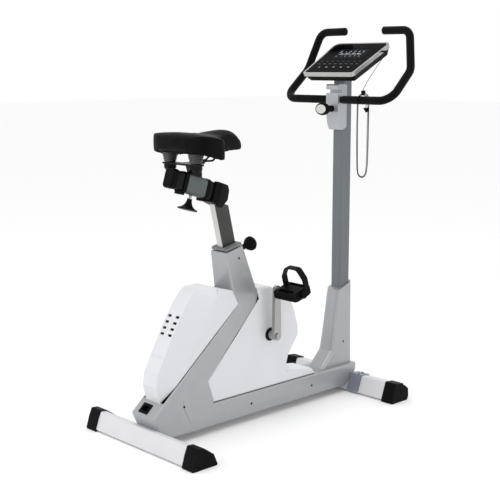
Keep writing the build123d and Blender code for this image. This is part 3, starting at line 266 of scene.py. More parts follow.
# Light silver lacquer on the handlebar's cast head.
HEAD_LACQUER = Finish("light_silver_lacquer", "#AEB0B3", "#A5A7AA", 0.3, metallic=0.45, coat=0.3,
                      relief=Relief.ORANGE_PEEL, grain=2.5, depth=0.015)
# Pale silver lacquer of the clamp knob's disc.
DISC_LACQUER = Finish("pale_silver_lacquer", "#D2D2CE", "#C6C6C2", 0.3, metallic=0.5)
# Dark grey polyurethane elastomer of the saddle's springs.
SPRING_RUBBER = Finish("grey_polyurethane_elastomer", "#3C3D3F", "#333436", 0.36, relief=Relief.SPARK_ERODED,
                       grain=1.5, depth=0.03)
# Felt-like dark bush plate of the seat tube.
BUSH_PLASTIC = Finish("dark_grey_acetal", "#7D7E80", "#5E5F61", 0.55, relief=Relief.SPARK_ERODED, grain=1.6,
                      depth=0.12, patch=6.0)


class FinishShelf:
    """Materials made once and handed out by finish."""

    def __init__(self) -> None:
        """Start with no materials."""
        self.made: dict[str, bpy.types.Material] = {}

    def get(self, finish: Finish) -> bpy.types.Material:
        """Return the material of a finish, made on first use."""
        if finish.name not in self.made:
            self.made[finish.name] = finish.build()
        return self.made[finish.name]


SHELF = FinishShelf()


# ---------------------------------------------------------------- shared helpers
def dress(piece: bpy.types.Object, finish: Finish) -> bpy.types.Object:
    """Give a piece one finish all over.

    Args:
        piece: Mesh or curve object.
        finish: Its finish.

    Returns:
        The piece.
    """
    if piece.data.materials:
        for index in range(len(piece.data.materials)):
            piece.data.materials[index] = SHELF.get(finish)
    else:
        piece.data.materials.append(SHELF.get(finish))
    for item in piece.material_slots:
        item.material = SHELF.get(finish)
    return piece


def dress_nodes(frame: dict[str, Any], finish: Finish, *names: str) -> None:
    """Give CAD nodes a finish.

    Args:
        frame: The loaded frame.
        finish: Their finish.
        *names: Node names.
    """
    for name in names:
        dress(frame["nodes"][name], finish)


def mesh_piece(name: str, points: Sequence[Sequence[float]], faces: Sequence[Sequence[int]], finish: Finish,
               smooth: bool = True) -> bpy.types.Object:
    """Make a mesh object.

    Args:
        name: Object name.
        points: Corner points in metres.
        faces: Corner indices of each face.
        finish: Its finish.
        smooth: True for smooth shading.

    Returns:
        The new object.
    """
    mesh = bpy.data.meshes.new(name)
    mesh.from_pydata([tuple(p) for p in points], [], [tuple(f) for f in faces])
    mesh.validate()
    for polygon in mesh.polygons:
        polygon.use_smooth = smooth
    piece = bpy.data.objects.new(name, mesh)
    bpy.context.scene.collection.objects.link(piece)
    return dress(piece, finish)


def ring_loft(name: str, rings: Sequence[Sequence[Vector]], finish: Finish, closed_ends: bool = True,
              smooth: bool = True) -> bpy.types.Object:
    """Skin a row of closed rings with equal numbers of points.

    Args:
        name: Object name.
        rings: Rings of points, in order.
        finish: Its finish.
        closed_ends: True to fill the first and last ring.
        smooth: True for smooth shading.

    Returns:
        The new object.
    """
    count = len(rings[0])
    points = [p for r in rings for p in r]
    faces: list[list[int]] = []
    for row in range(len(rings) - 1):
        for i in range(count):
            j = (i + 1) % count
            faces.append([row * count + i, row * count + j, (row + 1) * count + j, (row + 1) * count + i])
    if closed_ends:
        faces.append(list(reversed(range(count))))
        faces.append([(len(rings) - 1) * count + i for i in range(count)])
    piece = mesh_piece(name, points, faces, finish, smooth)
    fix_normals(piece)
    return piece


def fix_normals(piece: bpy.types.Object) -> None:
    """Turn a closed mesh's faces outwards."""
    work = bmesh.new()
    work.from_mesh(piece.data)
    bmesh.ops.recalc_face_normals(work, faces=work.faces)
    work.to_mesh(piece.data)
    work.free()


def turned(name: str, origin: Vector, axis: Vector, outline: Sequence[tuple[float, float]], finish: Finish,
           steps: int = 48) -> bpy.types.Object:
    """Turn an outline about an axis.

    Args:
        name: Object name.
        origin: Start of the axis, in metres.
        axis: Direction of the axis.
        outline: (radius, height) points in millimetres; a zero radius closes the end.
        finish: Its finish.
        steps: Points round the circle.

    Returns:
        The new object.
    """
    turn = Vector((0, 0, 1)).rotation_difference(axis.normalized()).to_matrix()
    rings = []
    for radius, height in outline:
        r = max(radius, 0.02) * MM
        angles = [2 * math.pi * i / steps for i in range(steps)]
        rings.append([origin + turn @ Vector((r * math.cos(a), r * math.sin(a), height * MM)) for a in angles])
    return ring_loft(name, rings, finish)


def soften(piece: bpy.types.Object, width: float, segments: int = 3, angle: float = 30.0) -> None:
    """Round a piece's sharp edges.

    Args:
        piece: Mesh object.
        width: Bevel width in millimetres.
        segments: Bevel segments.
        angle: Edges sharper than this are rounded, in degrees.
    """
    bevel = piece.modifiers.new("edge", "BEVEL")
    bevel.width = width * MM
    bevel.segments = segments
    bevel.limit_method = "ANGLE"
    bevel.angle_limit = math.radians(angle)
    bevel.harden_normals = False


def curve_tube(name: str, points: Iterable[Vector], diameter: float, finish: Finish) -> bpy.types.Object:
    """Make a round tube along a smooth spline.

    Args:
        name: Object name.
        points: Control points in metres.
        diameter: Tube diameter in metres.
        finish: Its finish.

    Returns:
        The new curve object.
    """
    data = bpy.data.curves.new(name, "CURVE")
    data.dimensions = "3D"
    data.bevel_depth = diameter / 2
    data.bevel_resolution = 4
    data.use_fill_caps = True
    spline = data.splines.new("NURBS")
    route = list(points)
    spline.points.add(len(route) - 1)
    for spot, point in zip(spline.points, route):
        spot.co = (*point, 1.0)
    spline.order_u = 3
    spline.use_endpoint_u = True
    spline.resolution_u = 6
    piece = bpy.data.objects.new(name, data)
    bpy.context.scene.collection.objects.link(piece)
    return dress(piece, finish)

def tangents(path: Sequence[Vector]) -> list[Vector]:
    """Return the unit direction at each point of a line."""
    last = len(path) - 1
    return [(path[min(i + 1, last)] - path[max(i - 1, 0)]).normalized() for i in range(last + 1)]


def bent_line(corners: Sequence[Vector], radii: Sequence[float], steps: int = 10) -> list[Vector]:
    """Return a bent tube's centre line: straight runs joined by round bends.

    Args:
        corners: Corners where the runs meet, ends included.
        radii: Bend radius at each inner corner.
        steps: Points along each bend.

    Returns:
        Points along the line.
    """
    path = [corners[0].copy()]
    for before, corner, after, radius in zip(corners, corners[1:], corners[2:], radii):
        back, on = (before - corner).normalized(), (after - corner).normalized()
        half = back.angle(on) / 2
        reach = radius / math.tan(half)
        middle = corner + (back + on).normalized() * (radius / math.sin(half))
        first, last = corner + back * reach - middle, corner + on * reach - middle
        sweep = first.angle(last)
        for index in range(steps + 1):
            part = index / steps
            blend = first * math.sin((1 - part) * sweep) + last * math.sin(part * sweep)
            path.append(middle + blend / math.sin(sweep))
    path.append(corners[-1].copy())
    return path


def bar_skin(name: str, path: Sequence[Vector], radius: float, dome: float, finish: Finish) -> bpy.types.Object:
    """Skin a round bar along a line, with a rolled start and a domed end.

    Args:
        name: Piece name.
        path: Centre line.
        radius: Outer radius.
        dome: How far the dome stands over the line's end.
        finish: Its finish.

    Returns:
        The piece.
    """
    ways = tangents(path)
    side = Vector((1, 0, 0)) if abs(ways[0].x) < 0.9 else Vector((0, 0, 1))
    spots = [(path[0], ways[0], 0.86), (path[0] + ways[0] * 0.0008, ways[0], 0.96),
             (path[0] + ways[0] * 0.0025, ways[0], 1.0)]
    spots += [(p, w, 1.0) for p, w in zip(path[1:], ways[1:])]
    for rise, width in ((0.35, 0.985), (0.65, 0.9), (0.88, 0.7), (0.97, 0.4)):
        spots.append((path[-1] + ways[-1] * dome * rise, ways[-1], width))
    rings = []
    for point, way, width in spots:
        side = (side - way * side.dot(way)).normalized()
        up = way.cross(side)
        rings.append([point + (side * math.cos(a) + up * math.sin(a)) * radius * width
                      for a in (2 * math.pi * i / 28 for i in range(28))])
    return ring_loft(name, rings, finish)


def smooth_by_subdivision(piece: bpy.types.Object, levels: int) -> None:
    """Subdivide a mesh piece and keep the result."""
    bpy.context.view_layer.objects.active = piece
    step = piece.modifiers.new("surface", "SUBSURF")
    step.levels = levels
    step.render_levels = levels
    bpy.ops.object.modifier_apply(modifier=step.name)
    for polygon in piece.data.polygons:
        polygon.use_smooth = True


def voxel_skin(piece: bpy.types.Object, size: float) -> None:
    """Rebuild a closed piece's skin from even cells.

    Args:
        piece: Mesh object.
        size: Cell size in metres.
    """
    bpy.context.view_layer.objects.active = piece
    step = piece.modifiers.new("even", "REMESH")
    step.mode = "VOXEL"
    step.voxel_size = size
    step.use_smooth_shade = True
    bpy.ops.object.modifier_apply(modifier=step.name)


def inflate(piece: bpy.types.Object, pressure: float, cap: float) -> None:
    """Fill a pad with a short cloth run and keep the result.

    Args:
        piece: Closed mesh object.
        pressure: Inner pressure.
        cap: Furthest that a point may move, in metres.
    """
    scene = bpy.context.scene
    bpy.context.view_layer.objects.active = piece
    before = [v.co.copy() for v in piece.data.vertices]
    cloth = piece.modifiers.new("fill", "CLOTH")
    cloth.settings.use_pressure = True
    cloth.settings.uniform_pressure_force = pressure
    cloth.settings.effector_weights.gravity = 0.0
    cloth.settings.quality = 4
    cloth.settings.mass = 0.3
    cloth.settings.tension_stiffness = 25.0
    cloth.settings.compression_stiffness = 25.0
    cloth.settings.bending_stiffness = 2.0
    cloth.point_cache.frame_start = 1
    cloth.point_cache.frame_end = 12
    for frame in range(1, 13):
        scene.frame_set(frame)
    bpy.ops.object.modifier_apply(modifier=cloth.name)
    scene.frame_set(1)
    for vertex, old in zip(piece.data.vertices, before):
        move = vertex.co - old
        if move.length > cap:
            vertex.co = old + move * (cap / move.length)
    piece.data.update()


# ---------------------------------------------------------------- studio
@dataclass
class Studio:
    """Pale floor, soft lights and the camera."""

    eye: tuple[float, float, float] = (-2.5591, -2.6470, 1.2453)
    look: tuple[float, float, float] = (0.67807, 0.71453, -0.17226)
    lens: float = 75.41

    def build(self) -> None:
        """Set up the world, the floor, the lights and the camera."""
        world = bpy.data.worlds.new("studio")
        world.use_nodes = True
        background = world.node_tree.nodes["Background"]
        background.inputs["Color"].default_value = (1.0, 1.0, 1.0, 1.0)
        background.inputs["Strength"].default_value = 1.0
        bpy.context.scene.world = world
        bpy.context.scene.view_settings.view_transform = "Standard"
        self.floor()
        self.lamp("key", (-3.6, 0.4, 2.2), 1.4, 20.0)
        self.lamp("side", (1.6, -3.4, 1.2), 1.2, 6.0)
        self.lamp("top", (-0.9, -0.7, 3.9), 2.0, 26.0)
        camera = bpy.data.objects.new("camera", bpy.data.cameras.new("camera"))
        bpy.context.scene.collection.objects.link(camera)
        camera.location = self.eye
        camera.rotation_mode = "QUATERNION"
        camera.rotation_quaternion = Vector(self.look).to_track_quat("-Z", "Y")
        camera.data.lens = self.lens
        camera.data.sensor_width = 36.0
        bpy.context.scene.camera = camera

    def floor(self) -> None:
        """Lay a wide pale floor."""
        half = 30.0
        plain = Finish("pale_studio_floor", "#FBFBFB", "#FAFAFA", 0.9)
        floor = mesh_piece("floor", [(-half, -half, 0), (half, -half, 0), (half, half, 0), (-half, half, 0)],
                           [(0, 1, 2, 3)], plain, smooth=False)

    def lamp(self, name: str, place: tuple[float, float, float], size: float, power: float) -> None:
        """Hang a square soft light that looks at the bike.

        Args:
            name: Light name.
            place: Position in metres.
            size: Side of the light in metres.
            power: Power in watts.
        """
        data = bpy.data.lights.new(name, "AREA")
        data.size = size
        data.energy = power
        light = bpy.data.objects.new(name, data)
        bpy.context.scene.collection.objects.link(light)
        light.location = place
        light.rotation_mode = "QUATERNION"
        light.rotation_quaternion = (Vector((0, 0, 0.6)) - Vector(place)).to_track_quat("-Z", "Y")


# ---------------------------------------------------------------- sub-assemblies
@dataclass
class BaseFrame:
    """Silver covers, white shells, cross tubes and what hides inside."""

    frame: dict[str, Any]
    screws: tuple[tuple[float, float, float], ...] = ((-0.141, 0.595, 0.0438), (0.418, 0.196, 0.0357))

    def build(self) -> None:
        """Dress the base of the bike."""
        dress_nodes(self.frame, SILVER_PAINT, "frame_cover_right", "frame_cover_left")
        dress_nodes(self.frame, WHITE_ABS, "front_shell_right", "front_shell_left", "rear_shell_right",
                    "rear_shell_left")
        for name in ("frame_cover_right", "frame_cover_left"):
            soften(self.frame["nodes"][name], 2.0, segments=2, angle=14.0)
        for name in ("rear_shell_right", "rear_shell_left"):
            soften(self.frame["nodes"][name], 4.0, segments=3, angle=14.0)
        dress_nodes(self.frame, WHITE_POWDER, "rear_stabilizer", "front_stabilizer")
        dress_nodes(self.frame, BLACK_NYLON, "rear_caps", "front_caps", "power_inlet")
        dress_nodes(self.frame, SADDLE_PLATE_PAINT, "front_saddles")
        dress_nodes(self.frame, EPDM_RUBBER, "roller_right", "roller_left", "drive_belt")
        dress_nodes(self.frame, OXIDE_STEEL, "bearings", "cover_screws", "brake_magnet")
        dress_nodes(self.frame, BLACK_ENAMEL, "main_frame", "crank_pulley")
        dress_nodes(self.frame, CAST_IRON, "flywheel")
        dress_nodes(self.frame, BUSH_PLASTIC, "seat_tube_collar")
        for index, (x, z, half) in enumerate(self.screws):
            for side, word in ((-1, "right"), (1, "left")):
                head = turned(f"screw_{index + 1}_{word}", Vector((x, side * (half - 0.0008), z)),
                              Vector((0, side, 0)), [(0, 0), (3.6, 0), (3.8, 1.2), (3.2, 1.9), (1.8, 2.0),
                                                     (1.6, 1.2), (0, 1.2)], OXIDE_STEEL, 24)
                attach(head, "structure")


@dataclass
class Mast:
    """Upright post, its covers and the handlebar head."""

    frame: dict[str, Any]
    knob_x: float = 0.374
    knob_z: float = 1.092
    knob_oval: float = 1.45

    def build(self) -> None:
        """Dress the mast and add the knob's metal disc."""
        dress_nodes(self.frame, SILVER_PAINT, "mast_cover_lower", "mast_cover_upper")
        dress_nodes(self.frame, HEAD_LACQUER, "post_head")
        dress_nodes(self.frame, POST_PAINT, "handlebar_post")
        dress_nodes(self.frame, BLACK_NYLON, "handlebar_knob")
        disc = turned("knob_disc", Vector((self.knob_x - 0.0575, 0, self.knob_z)), Vector((-1, 0, 0)),
                      [(0, 0), (16.8, 0), (17.0, 2.6), (16.4, 4.2), (15.2, 5.0), (14.4, 4.7), (8, 5.3), (0, 5.6)],
                      DISC_LACQUER)
        for vertex in disc.data.vertices:
            vertex.co.y *= self.knob_oval
        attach(disc, "handlebar_knob_body")


@dataclass
class Handlebar:
    """Bent bar with its foam grips."""

    frame: dict[str, Any]
    axis: tuple[float, float] = (0.393, 1.125)
    corners: tuple[tuple[float, float, float], ...] = (
        (0, 0, 0), (0, 262, 0), (120, 256, 109), (157, 218, 253), (159, 97, 254))
    radii: tuple[float, ...] = (52, 58, 40)
    grip_radius: float = 15.0
    grip_start: float = 38.0

    def build(self) -> None:
        """Dress the bar and sleeve it with foam."""
        dress_nodes(self.frame, BLACK_ENAMEL, "handlebar_tube")
        for side, word in ((-1, "right"), (1, "left")):
            self.sleeve(side, word)

    def sleeve(self, side: int, word: str) -> None:
        """Make one grip.

        Args:
            side: -1 on the rider's right, 1 on the left.
            word: Name of the side.
        """
        base = Vector((self.axis[0], 0, self.axis[1]))
        line = [base + Vector((x, side * y, z)) * MM for x, y, z in self.corners]
        path = bent_line(line, [r * MM for r in self.radii])
        path[0] = base + Vector((0, side * self.grip_start * MM, 0))
        foam = bar_skin(f"foam_grip_{word}", path, self.grip_radius * MM, 0.004, NBR_FOAM)
        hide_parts(f"grip_{word}")
        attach(foam, "handlebar")


@dataclass
class Console:
    """Console with its display, marks and keys."""

    frame: dict[str, Any]
    near: tuple[float, float] = (0.342, 1.222)
    far: tuple[float, float] = (0.548, 1.336)
    display: tuple[float, float] = (0.072, 0.148)
    display_at: float = 0.150

    def place(self, along: float, left: float, above: float) -> Vector:
        """Return a point on the face.

        Args:
            along: Way up the face from the rider's edge, in metres.
            left: Way to the rider's left, in metres.
            above: Height over the face, in metres.

        Returns:
            The point in the model's frame.
        """
        run = Vector((self.far[0] - self.near[0], 0, self.far[1] - self.near[1])).normalized()
        return Vector((self.near[0], left, self.near[1])) + run * along + Vector((-run.z, 0, run.x)) * above

    def plate(self, name: str, marks: Sequence[tuple[float, float, float, float]], height: float,
              thick: float, finish: Finish, body: str = "structure") -> bpy.types.Object:
        """Make flat marks with chamfered rims on the face, as one piece.

        Args:
            name: Piece name.
            marks: Centre along, centre left, length along and width of each mark, in metres.
            height: Height of their underside over the face.
            thick: Their thickness.
            finish: Their finish.
            body: Body that they ride on.

        Returns:
            The piece.
        """
        points: list[Vector] = []
        faces: list[list[int]] = []
        for along, left, length, width in marks:
            start = len(points)
            for level, shrink in ((height, 0.0), (height + thick * 0.7, 0.0), (height + thick, thick * 0.4)):
                half_l, half_w = length / 2 - shrink, width / 2 - shrink
                for a, b in ((-1, -1), (1, -1), (1, 1), (-1, 1)):
                    points.append(self.place(along + a * half_l, left + b * half_w, level))
            for row in range(2):
                for i in range(4):
                    j = (i + 1) % 4
                    faces.append([start + row * 4 + i, start + row * 4 + j, start + row * 4 + 4 + j,
                                  start + row * 4 + 4 + i])
            faces.append([start + 8, start + 9, start + 10, start + 11])
            faces.append([start + 3, start + 2, start + 1, start])
        piece = mesh_piece(name, points, faces, finish, smooth=False)
        fix_normals(piece)
        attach(piece, body)
        return piece

    def digit(self, along: float, left: float, size: float, lit: str) -> list[tuple[float, float, float, float]]:
        """Return the lit bars of one seven-bar figure.

        Args:
            along: Centre along the face.
            left: Centre to the left.
            size: Height of the figure.
            lit: Letters a to g of the lit bars.

        Returns:
            Marks for plate().
        """
        half, bar, wide = size / 2, size * 0.11, size * 0.5
        shapes = {"a": (half, 0, bar, wide), "g": (0, 0, bar, wide), "d": (-half, 0, bar, wide),
                  "f": (half / 2, wide / 2, half * 0.8, bar), "b": (half / 2, -wide / 2, half * 0.8, bar),
                  "e": (-half / 2, wide / 2, half * 0.8, bar), "c": (-half / 2, -wide / 2, half * 0.8, bar)}
        return [(along + shapes[k][0], left + shapes[k][1], shapes[k][2], shapes[k][3]) for k in lit]

    def build(self) -> None:
        """Dress the console, glaze the display and print the marks."""
        dress_nodes(self.frame, BLACK_ABS, "console_base")
        dress_nodes(self.frame, BEZEL_LACQUER, "console_bezel")
        dress_nodes(self.frame, BLACK_ACRYLIC, "console_face")
        dress_nodes(self.frame, BLACK_NYLON, *[n for n in self.frame["nodes"] if n.startswith("key_")])
        soften(self.frame["nodes"]["console_bezel"], 2.0)
        soften(self.frame["nodes"]["console_base"], 3.0)
        self.plate("display_glass", [(self.display_at, 0, self.display[0], self.display[1])], -0.0018, 0.0012,
                   LCD_GLASS)
        figures: list[tuple[float, float, float, float]] = []
        for index, lit in enumerate(("abcdef", "bc", "abdeg", "abcdg", "bcfg", "acdfg")):
            left = 0.056 - index * 0.0222
            figures += self.digit(self.display_at + 0.014, left, 0.013, lit)
            figures += self.digit(self.display_at - 0.017, left, 0.009, lit[::-1][:4])
        for index in range(14):
            tall = 0.003 + 0.0012 * ((index * 5) % 7)
            figures.append((self.display_at - 0.003 + tall / 2 - 0.003, 0.052 - index * 0.008, tall, 0.0045))
        self.plate("display_figures", figures, -0.0006, 0.0003, PRINT_PALE)
        prints: list[tuple[float, float, float, float]] = []
        for index in range(8):
            left = 0.094 - index * 0.0268
            prints.append((0.071, left, 0.0022, 0.013))
            prints.append((0.090, left, 0.0016, 0.009))
        self.plate("key_prints", prints, 0.0, 0.0003, PRINT_GREY)
        for index in range(5):
            left = (index - 2) * 0.036
            cross = [(0.044, left, 0.0024, 0.010), (0.044, left, 0.006, 0.0024)]
            self.plate(f"key_symbol_{index + 1}", cross, 0.00122, 0.0003, PRINT_PALE, f"key_{index + 1}_body")


@dataclass
class CrankDrive:
    """Crank arms, pedals and toe straps."""

    frame: dict[str, Any]
    crank_height: float = 0.303
    crank_length: float = 0.170
    strap_x: float = 0.024
    strap_y: float = 0.164
    strap_width: float = 26.0
    tilt: float = 16.0

    def build(self) -> None:
        """Dress the crank drive and lay the toe straps over the pedals."""
        dress_nodes(self.frame, CHROME, "crank_arm_right", "crank_arm_left", "crank_axle")
        dress_nodes(self.frame, BLACK_NYLON, "pedal_right", "pedal_left")
        for side, word in ((-1, "right"), (1, "left")):
            soften(self.frame["nodes"][f"crank_arm_{word}"], 2.5)
            soften(self.frame["nodes"][f"pedal_{word}"], 2.0)
            self.strap(side, word)

    def strap(self, side: int, word: str) -> None:
        """Make one ribbed toe strap.

        Args:
            side: -1 on the rider's right, 1 on the left.
            word: Name of the side.
        """
        z = self.crank_height - side * self.crank_length
        middle = Vector((self.strap_x, side * self.strap_y, z + 0.014))
        corners = [middle + Vector((0, y, h)) * MM for y, h in
                   ((-49.5, -6), (-49.5, 34), (-28, 69), (28, 69), (49.5, 34), (49.5, -6))]
        path = bent_line(corners, [0.018, 0.016, 0.016, 0.018])
        pivot = Vector((0, side * self.strap_y, z))
        tilt = Matrix.Rotation(math.radians(-self.tilt), 3, "Y")
        rings = []
        for index, (point, ahead) in enumerate(zip(path, tangents(path))):
            out = ahead.cross(Vector((1, 0, 0))).normalized()
            out = -out if (point - middle).dot(out) < 0 else out
            rise = 0.0014 if index % 4 < 2 else 0.0020
            ring = []
            for across, height in ((-1, -0.0012), (-0.5, -0.0012), (0.5, -0.0012), (1, -0.0012), (1, 0.0008),
                                   (0.86, rise), (0.5, rise), (-0.5, rise), (-0.86, rise), (-1, 0.0008)):
                ring.append(point + Vector((across * self.strap_width / 2 * MM, 0, 0)) + out * height)
            rings.append([pivot + tilt @ (spot - pivot) for spot in ring])
        band = ring_loft(f"toe_strap_{word}", rings, EPDM_RUBBER, smooth=False)
        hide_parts(f"strap_{word}")
        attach(band, f"pedal_{word}_body")


@dataclass
class SeatColumn:
    """Seat post, slide and saddle."""

    frame: dict[str, Any]
    spring_x: float = -0.351
    spring_y: float = 0.066
    plate_top: float = 0.934
    shell_low: float = 0.968
    slide_centre: tuple[float, float] = (-0.309, 0.857)
    slide_tilt: float = 18.0

    def build(self) -> None:
        """Dress the seat column, turn its springs and pad the saddle."""
        # painted shade: the whole post is coloured as dark as its shaded sides; the back strip carries the painted
        # highlight
        dress_nodes(self.frame, POST_ALUMINIUM_PAINTED_SHADE, "seat_post")
        dress_nodes(self.frame, BLACK_ABS, "rail_covers", "carriage_collars")
        dress_nodes(self.frame, BLACK_ENAMEL, "slide_rail", "saddle_bracket")
        dress_nodes(self.frame, SLEEVE_ALUMINIUM, "carriage_sleeve")
        dress_nodes(self.frame, BLACK_NYLON, "carriage_knob", "height_pin", "saddle_shell")
        for side, word in ((-1, "right"), (1, "left")):
            self.spring(side, word)
        self.stem()
        self.back_strip()
        Saddle().build()

    def spring(self, side: int, word: str) -> None:
        """Turn one ribbed spring.

        Args:
            side: -1 on the rider's right, 1 on the left.
            word: Name of the side.
        """
        ribs = [(0, 0), (17, 0), (18, 1.5)]
        for index in range(5):
            low = 2.5 + index * 5.6
            swell = 1.0 + index * 1.3
            ribs += [(18 + swell, low), (20.4 + swell, low + 1.2), (20.6 + swell, low + 3.0),
                     (18.4 + swell, low + 4.4)]
        ribs += [(25.5, 32), (26, 33.5), (0, 33.5)]
        seat = Vector((self.spring_x, side * self.spring_y, self.plate_top + 0.0001))
        piece = turned(f"saddle_spring_{word}", seat,
                       Vector((0, 0, 1)), ribs, SPRING_RUBBER)
        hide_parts("saddle_springs")
        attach(piece, "saddle_carriage")

    def back_strip(self) -> None:
        """Lay a bright brushed strip on the post's back face, a painted highlight standing in for the light on
        that face.
        """
        tilt = math.radians(13.6)
        up, back = Vector((-math.sin(tilt), 0, math.cos(tilt))), Vector((-math.cos(tilt), 0, -math.sin(tilt)))
        foot = Vector((-0.159, 0, 0.640))
        rings = []
        for along in (-0.150, -0.060, 0.030, 0.120, 0.163):
            rings.append([foot + up * along + back * (0.030 + depth) + Vector((0, y, 0)) for y, depth in
                          ((-0.0128, -0.0002), (-0.0126, 0.00012), (0.0126, 0.00012), (0.0128, -0.0002))])
        # painted highlight: the strip is coloured as bright as the lit back face of the post
        piece = ring_loft("post_back_painted_highlight", rings, BACK_HIGHLIGHT_ALUMINIUM, smooth=False)
        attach(piece, "seat_column")

    def stem(self) -> None:
        """Cut the bright thread of the carriage knob's stem."""
        tilt = math.radians(self.slide_tilt)
        down = Vector((-math.sin(tilt), 0, -math.cos(tilt)))
        base = Vector((self.slide_centre[0], 0, self.slide_centre[1])) + down * 0.0352
        thread = [(4.0, 0.0)]
        for index in range(8):
            thread += [(5.5, 0.3 + index * 1.25), (5.05, 0.95 + index * 1.25)]
        thread += [(5.5, 10.5), (9.5, 10.6), (9.5, 12.2), (4.0, 12.2)]
        piece = turned("knob_thread", base, down, thread, ZINC_STEEL, 32)
        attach(piece, "carriage_knob_body")


@dataclass
class Saddle:
    """Padded saddle: sizes in metres at stations from the back to the nose."""

    stations: tuple[tuple[float, float, float, float, float], ...] = (
        (-0.3935, 0.066, 1.014, 1.010, 0.974), (-0.389, 0.098, 1.025, 1.020, 0.971),
        (-0.378, 0.124, 1.0305, 1.026, 0.967), (-0.362, 0.1375, 1.0315, 1.026, 0.962),
        (-0.340, 0.1385, 1.029, 1.024, 0.956), (-0.318, 0.1385, 1.026, 1.0195, 0.949),
        (-0.298, 0.1385, 1.0245, 1.014, 0.944), (-0.283, 0.133, 1.024, 1.010, 0.943),
        (-0.270, 0.112, 1.0245, 1.010, 0.946), (-0.256, 0.083, 1.026, 1.012, 0.951),
        (-0.238, 0.060, 1.0295, 1.016, 0.957), (-0.216, 0.0455, 1.0335, 1.021, 0.961),
        (-0.190, 0.037, 1.0365, 1.025, 0.963), (-0.164, 0.0325, 1.0355, 1.023, 0.964),
        (-0.140, 0.029, 1.030, 1.015, 0.964), (-0.121, 0.0255, 1.019, 1.004, 0.964),
        (-0.107, 0.020, 1.004, 0.993, 0.965), (-0.0985, 0.012, 0.990, 0.984, 0.967))
    floor: float = 0.9745
    skirt: float = 0.0095
    swell: float = 0.005

    def ring(self, x: float, half: float, crown: float, edge: float, low: float) -> list[Vector]:
        """Return one closed cross-section.

        Args:
            x: Station.
            half: Half width.
            crown: Height at the middle.
            edge: Height where the top turns into the side.
            low: Lower edge of the skirt.

        Returns:
            Points from the middle of the underside round the right side and back over the left.
        """
        s = min(self.skirt, half * 0.4)
        turn = min(0.012, half * 0.35)
        base = self.floor if half > 0.024 else low + 0.004
        right = [(0, base), (half * 0.55, base), (half - s - 0.001, base), (half - s, base - 0.002),
                 (half - s, low + 0.001), (half - s * 0.5, low), (half - 0.001, low + 0.002),
                 (half + 0.0005, low * 0.6 + edge * 0.4), (half, low * 0.25 + edge * 0.75),
                 (half - turn * 0.15, edge - 0.002), (half - turn * 0.5, edge + 0.001),
                 (half - turn, edge * 0.85 + crown * 0.15)]
        for part in (0.62, 0.42, 0.2):
            y = (half - turn) * part / 0.8
            right.append((y, edge + (crown - edge) * (1 - part * part)))
        right.append((0, crown))
        ring = [Vector((x, -y, z)) for y, z in right]
        return ring + [Vector((x, y, z)) for y, z in reversed(right[1:-1])]

    def build(self) -> None:
        """Loft, fill and sew the saddle."""
        rings = [self.ring(*values) for values in self.stations]
        cushion = ring_loft("saddle_pad", rings, PU_LEATHER)
        smooth_by_subdivision(cushion, 1)
        voxel_skin(cushion, 0.0040)
        inflate(cushion, 3.0, self.swell)
        smooth_by_subdivision(cushion, 1)
        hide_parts("saddle_cushion")
        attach(cushion, "saddle_carriage")
        self.sew(cushion)

    def sew(self, cushion: bpy.types.Object) -> None:
        """Lay the welt along the top edge on each side.

        Args:
            cushion: The finished pad.
        """
        for side, word in ((-1, "right"), (1, "left")):
            line = [Vector((x, side * (half - 0.002), edge + 0.0005))
                    for x, half, _, edge, _ in self.stations[1:-1]]
            self.welt(cushion, f"saddle_welt_{word}", line)

    def welt(self, cushion: bpy.types.Object, name: str, line: Sequence[Vector]) -> None:
        """Lay a thin welt on the pad's skin.

        Args:
            cushion: The finished pad.
            name: Piece name.
            line: Points near the skin.
        """
        spots = []
        for a, b in zip(line, line[1:]):
            for step in range(3):
                near = a.lerp(b, step / 3)
                _, spot, normal, _ = cushion.closest_point_on_mesh(near)
                spots.append(spot + normal * 0.0001)
        piece = curve_tube(name, spots, 0.0018, PU_LEATHER)
        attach(piece, "saddle_carriage")


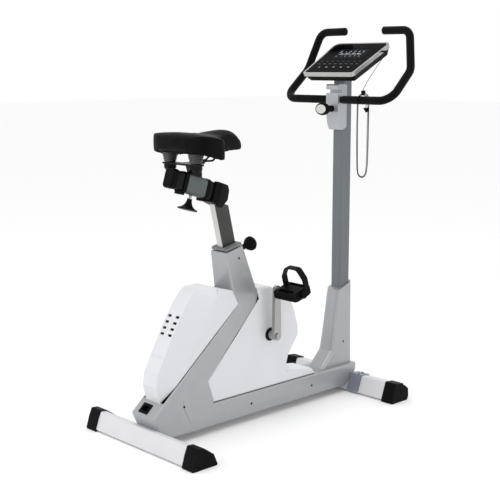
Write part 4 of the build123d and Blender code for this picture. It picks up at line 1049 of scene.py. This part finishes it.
@dataclass
class PulseLead:
    """Ear-clip lead from the console, hung over the handlebar."""

    frame: dict[str, Any]
    diameter: float = 0.002
    bar: tuple[float, float] = (0.393, 1.125)
    hank_y: float = -0.135
    turn: float = 28.0
    turns: int = 3
    pitch: float = 0.0023
    outer: float = 0.0236
    bottom: float = -0.262
    plug_end: tuple[float, float, float] = (0.4993, -0.1491, 1.3010)
    length: float = 2.18

    def spot(self, across: float, up: float, out: float = 0.0) -> Vector:
        """Return a point of the hank's plane.

        Args:
            across: Way across the bar, forward.
            up: Height over the bar's axis.
            out: Way out of the plane, to the rider's right.

        Returns:
            The point in the model's frame.
        """
        angle = math.radians(self.turn)
        forward = Vector((math.cos(angle), -math.sin(angle), 0))
        right = Vector((-math.sin(angle), -math.cos(angle), 0))
        middle = Vector((self.bar[0], self.hank_y, self.bar[1]))
        return middle + forward * across + Vector((0, 0, up)) + right * out

    def route(self) -> list[Vector]:
        """Return the lead's control points from the plug to the ear clip."""
        start = Vector(self.plug_end)
        top = self.spot(0.0, 0.044)
        points = [start, start + Vector((0, -0.004, -0.004)), start.lerp(top, 0.5), top, self.spot(0.0, 0.033)]
        for index in range(self.turns):
            r = self.outer - self.pitch * index
            n = 0.0016 * math.sin(1.9 * index + 0.4)
            fan = 0.0012 * math.cos(2.3 * index)
            step = self.pitch
            points += [self.spot(r * 0.42, r * 1.12, n), self.spot(r * 0.98, r * 0.55, n), self.spot(r, -0.030, n),
                       self.spot(r - 0.001, -0.120, n + fan), self.spot(r - 0.0005, -0.205, n - fan),
                       self.spot(r * 0.84, self.bottom, n), self.spot(r * 0.42, self.bottom - r * 0.86, n),
                       self.spot(-r * 0.38, self.bottom - r * 0.86, n), self.spot(-r * 0.86, self.bottom, n),
                       self.spot(-r + 0.0015, -0.200, n + fan), self.spot(-r, -0.115, n - fan),
                       self.spot(-r + step * 0.2, -0.030, n), self.spot(-r * 0.98 + step * 0.4, r * 0.50, n),
                       self.spot(-r * 0.42, r * 1.10 - step * 0.8, n)]
        r = self.outer - self.pitch * self.turns
        points += [self.spot(r * 0.42, r * 1.10), self.spot(r * 0.98, r * 0.50), self.spot(r * 0.95, -0.012),
                   self.spot(r * 0.62, -0.024), self.spot(0.0115, -0.031)]
        return points

    def build(self) -> None:
        """Lay the lead and dress its plug and clips."""
        dress_nodes(self.frame, BLACK_NYLON, "pulse_plug", "pulse_clips")
        lead = curve_tube("ear_clip_lead", self.route(), self.diameter, PVC_SHEATH)
        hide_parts("pulse_lead", "pulse_hank")
        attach(lead, "structure")


def main() -> None:
    """Build and dress the whole bike."""
    logging.basicConfig(level=logging.INFO, format="%(message)s")
    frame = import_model()
    Studio().build()
    for part in (PulseLead, BaseFrame, Mast, Handlebar, Console, CrankDrive, SeatColumn):
        part(frame).build()
        LOG.info("built %s", part.__name__)


if __name__ == "__main__":
    main()
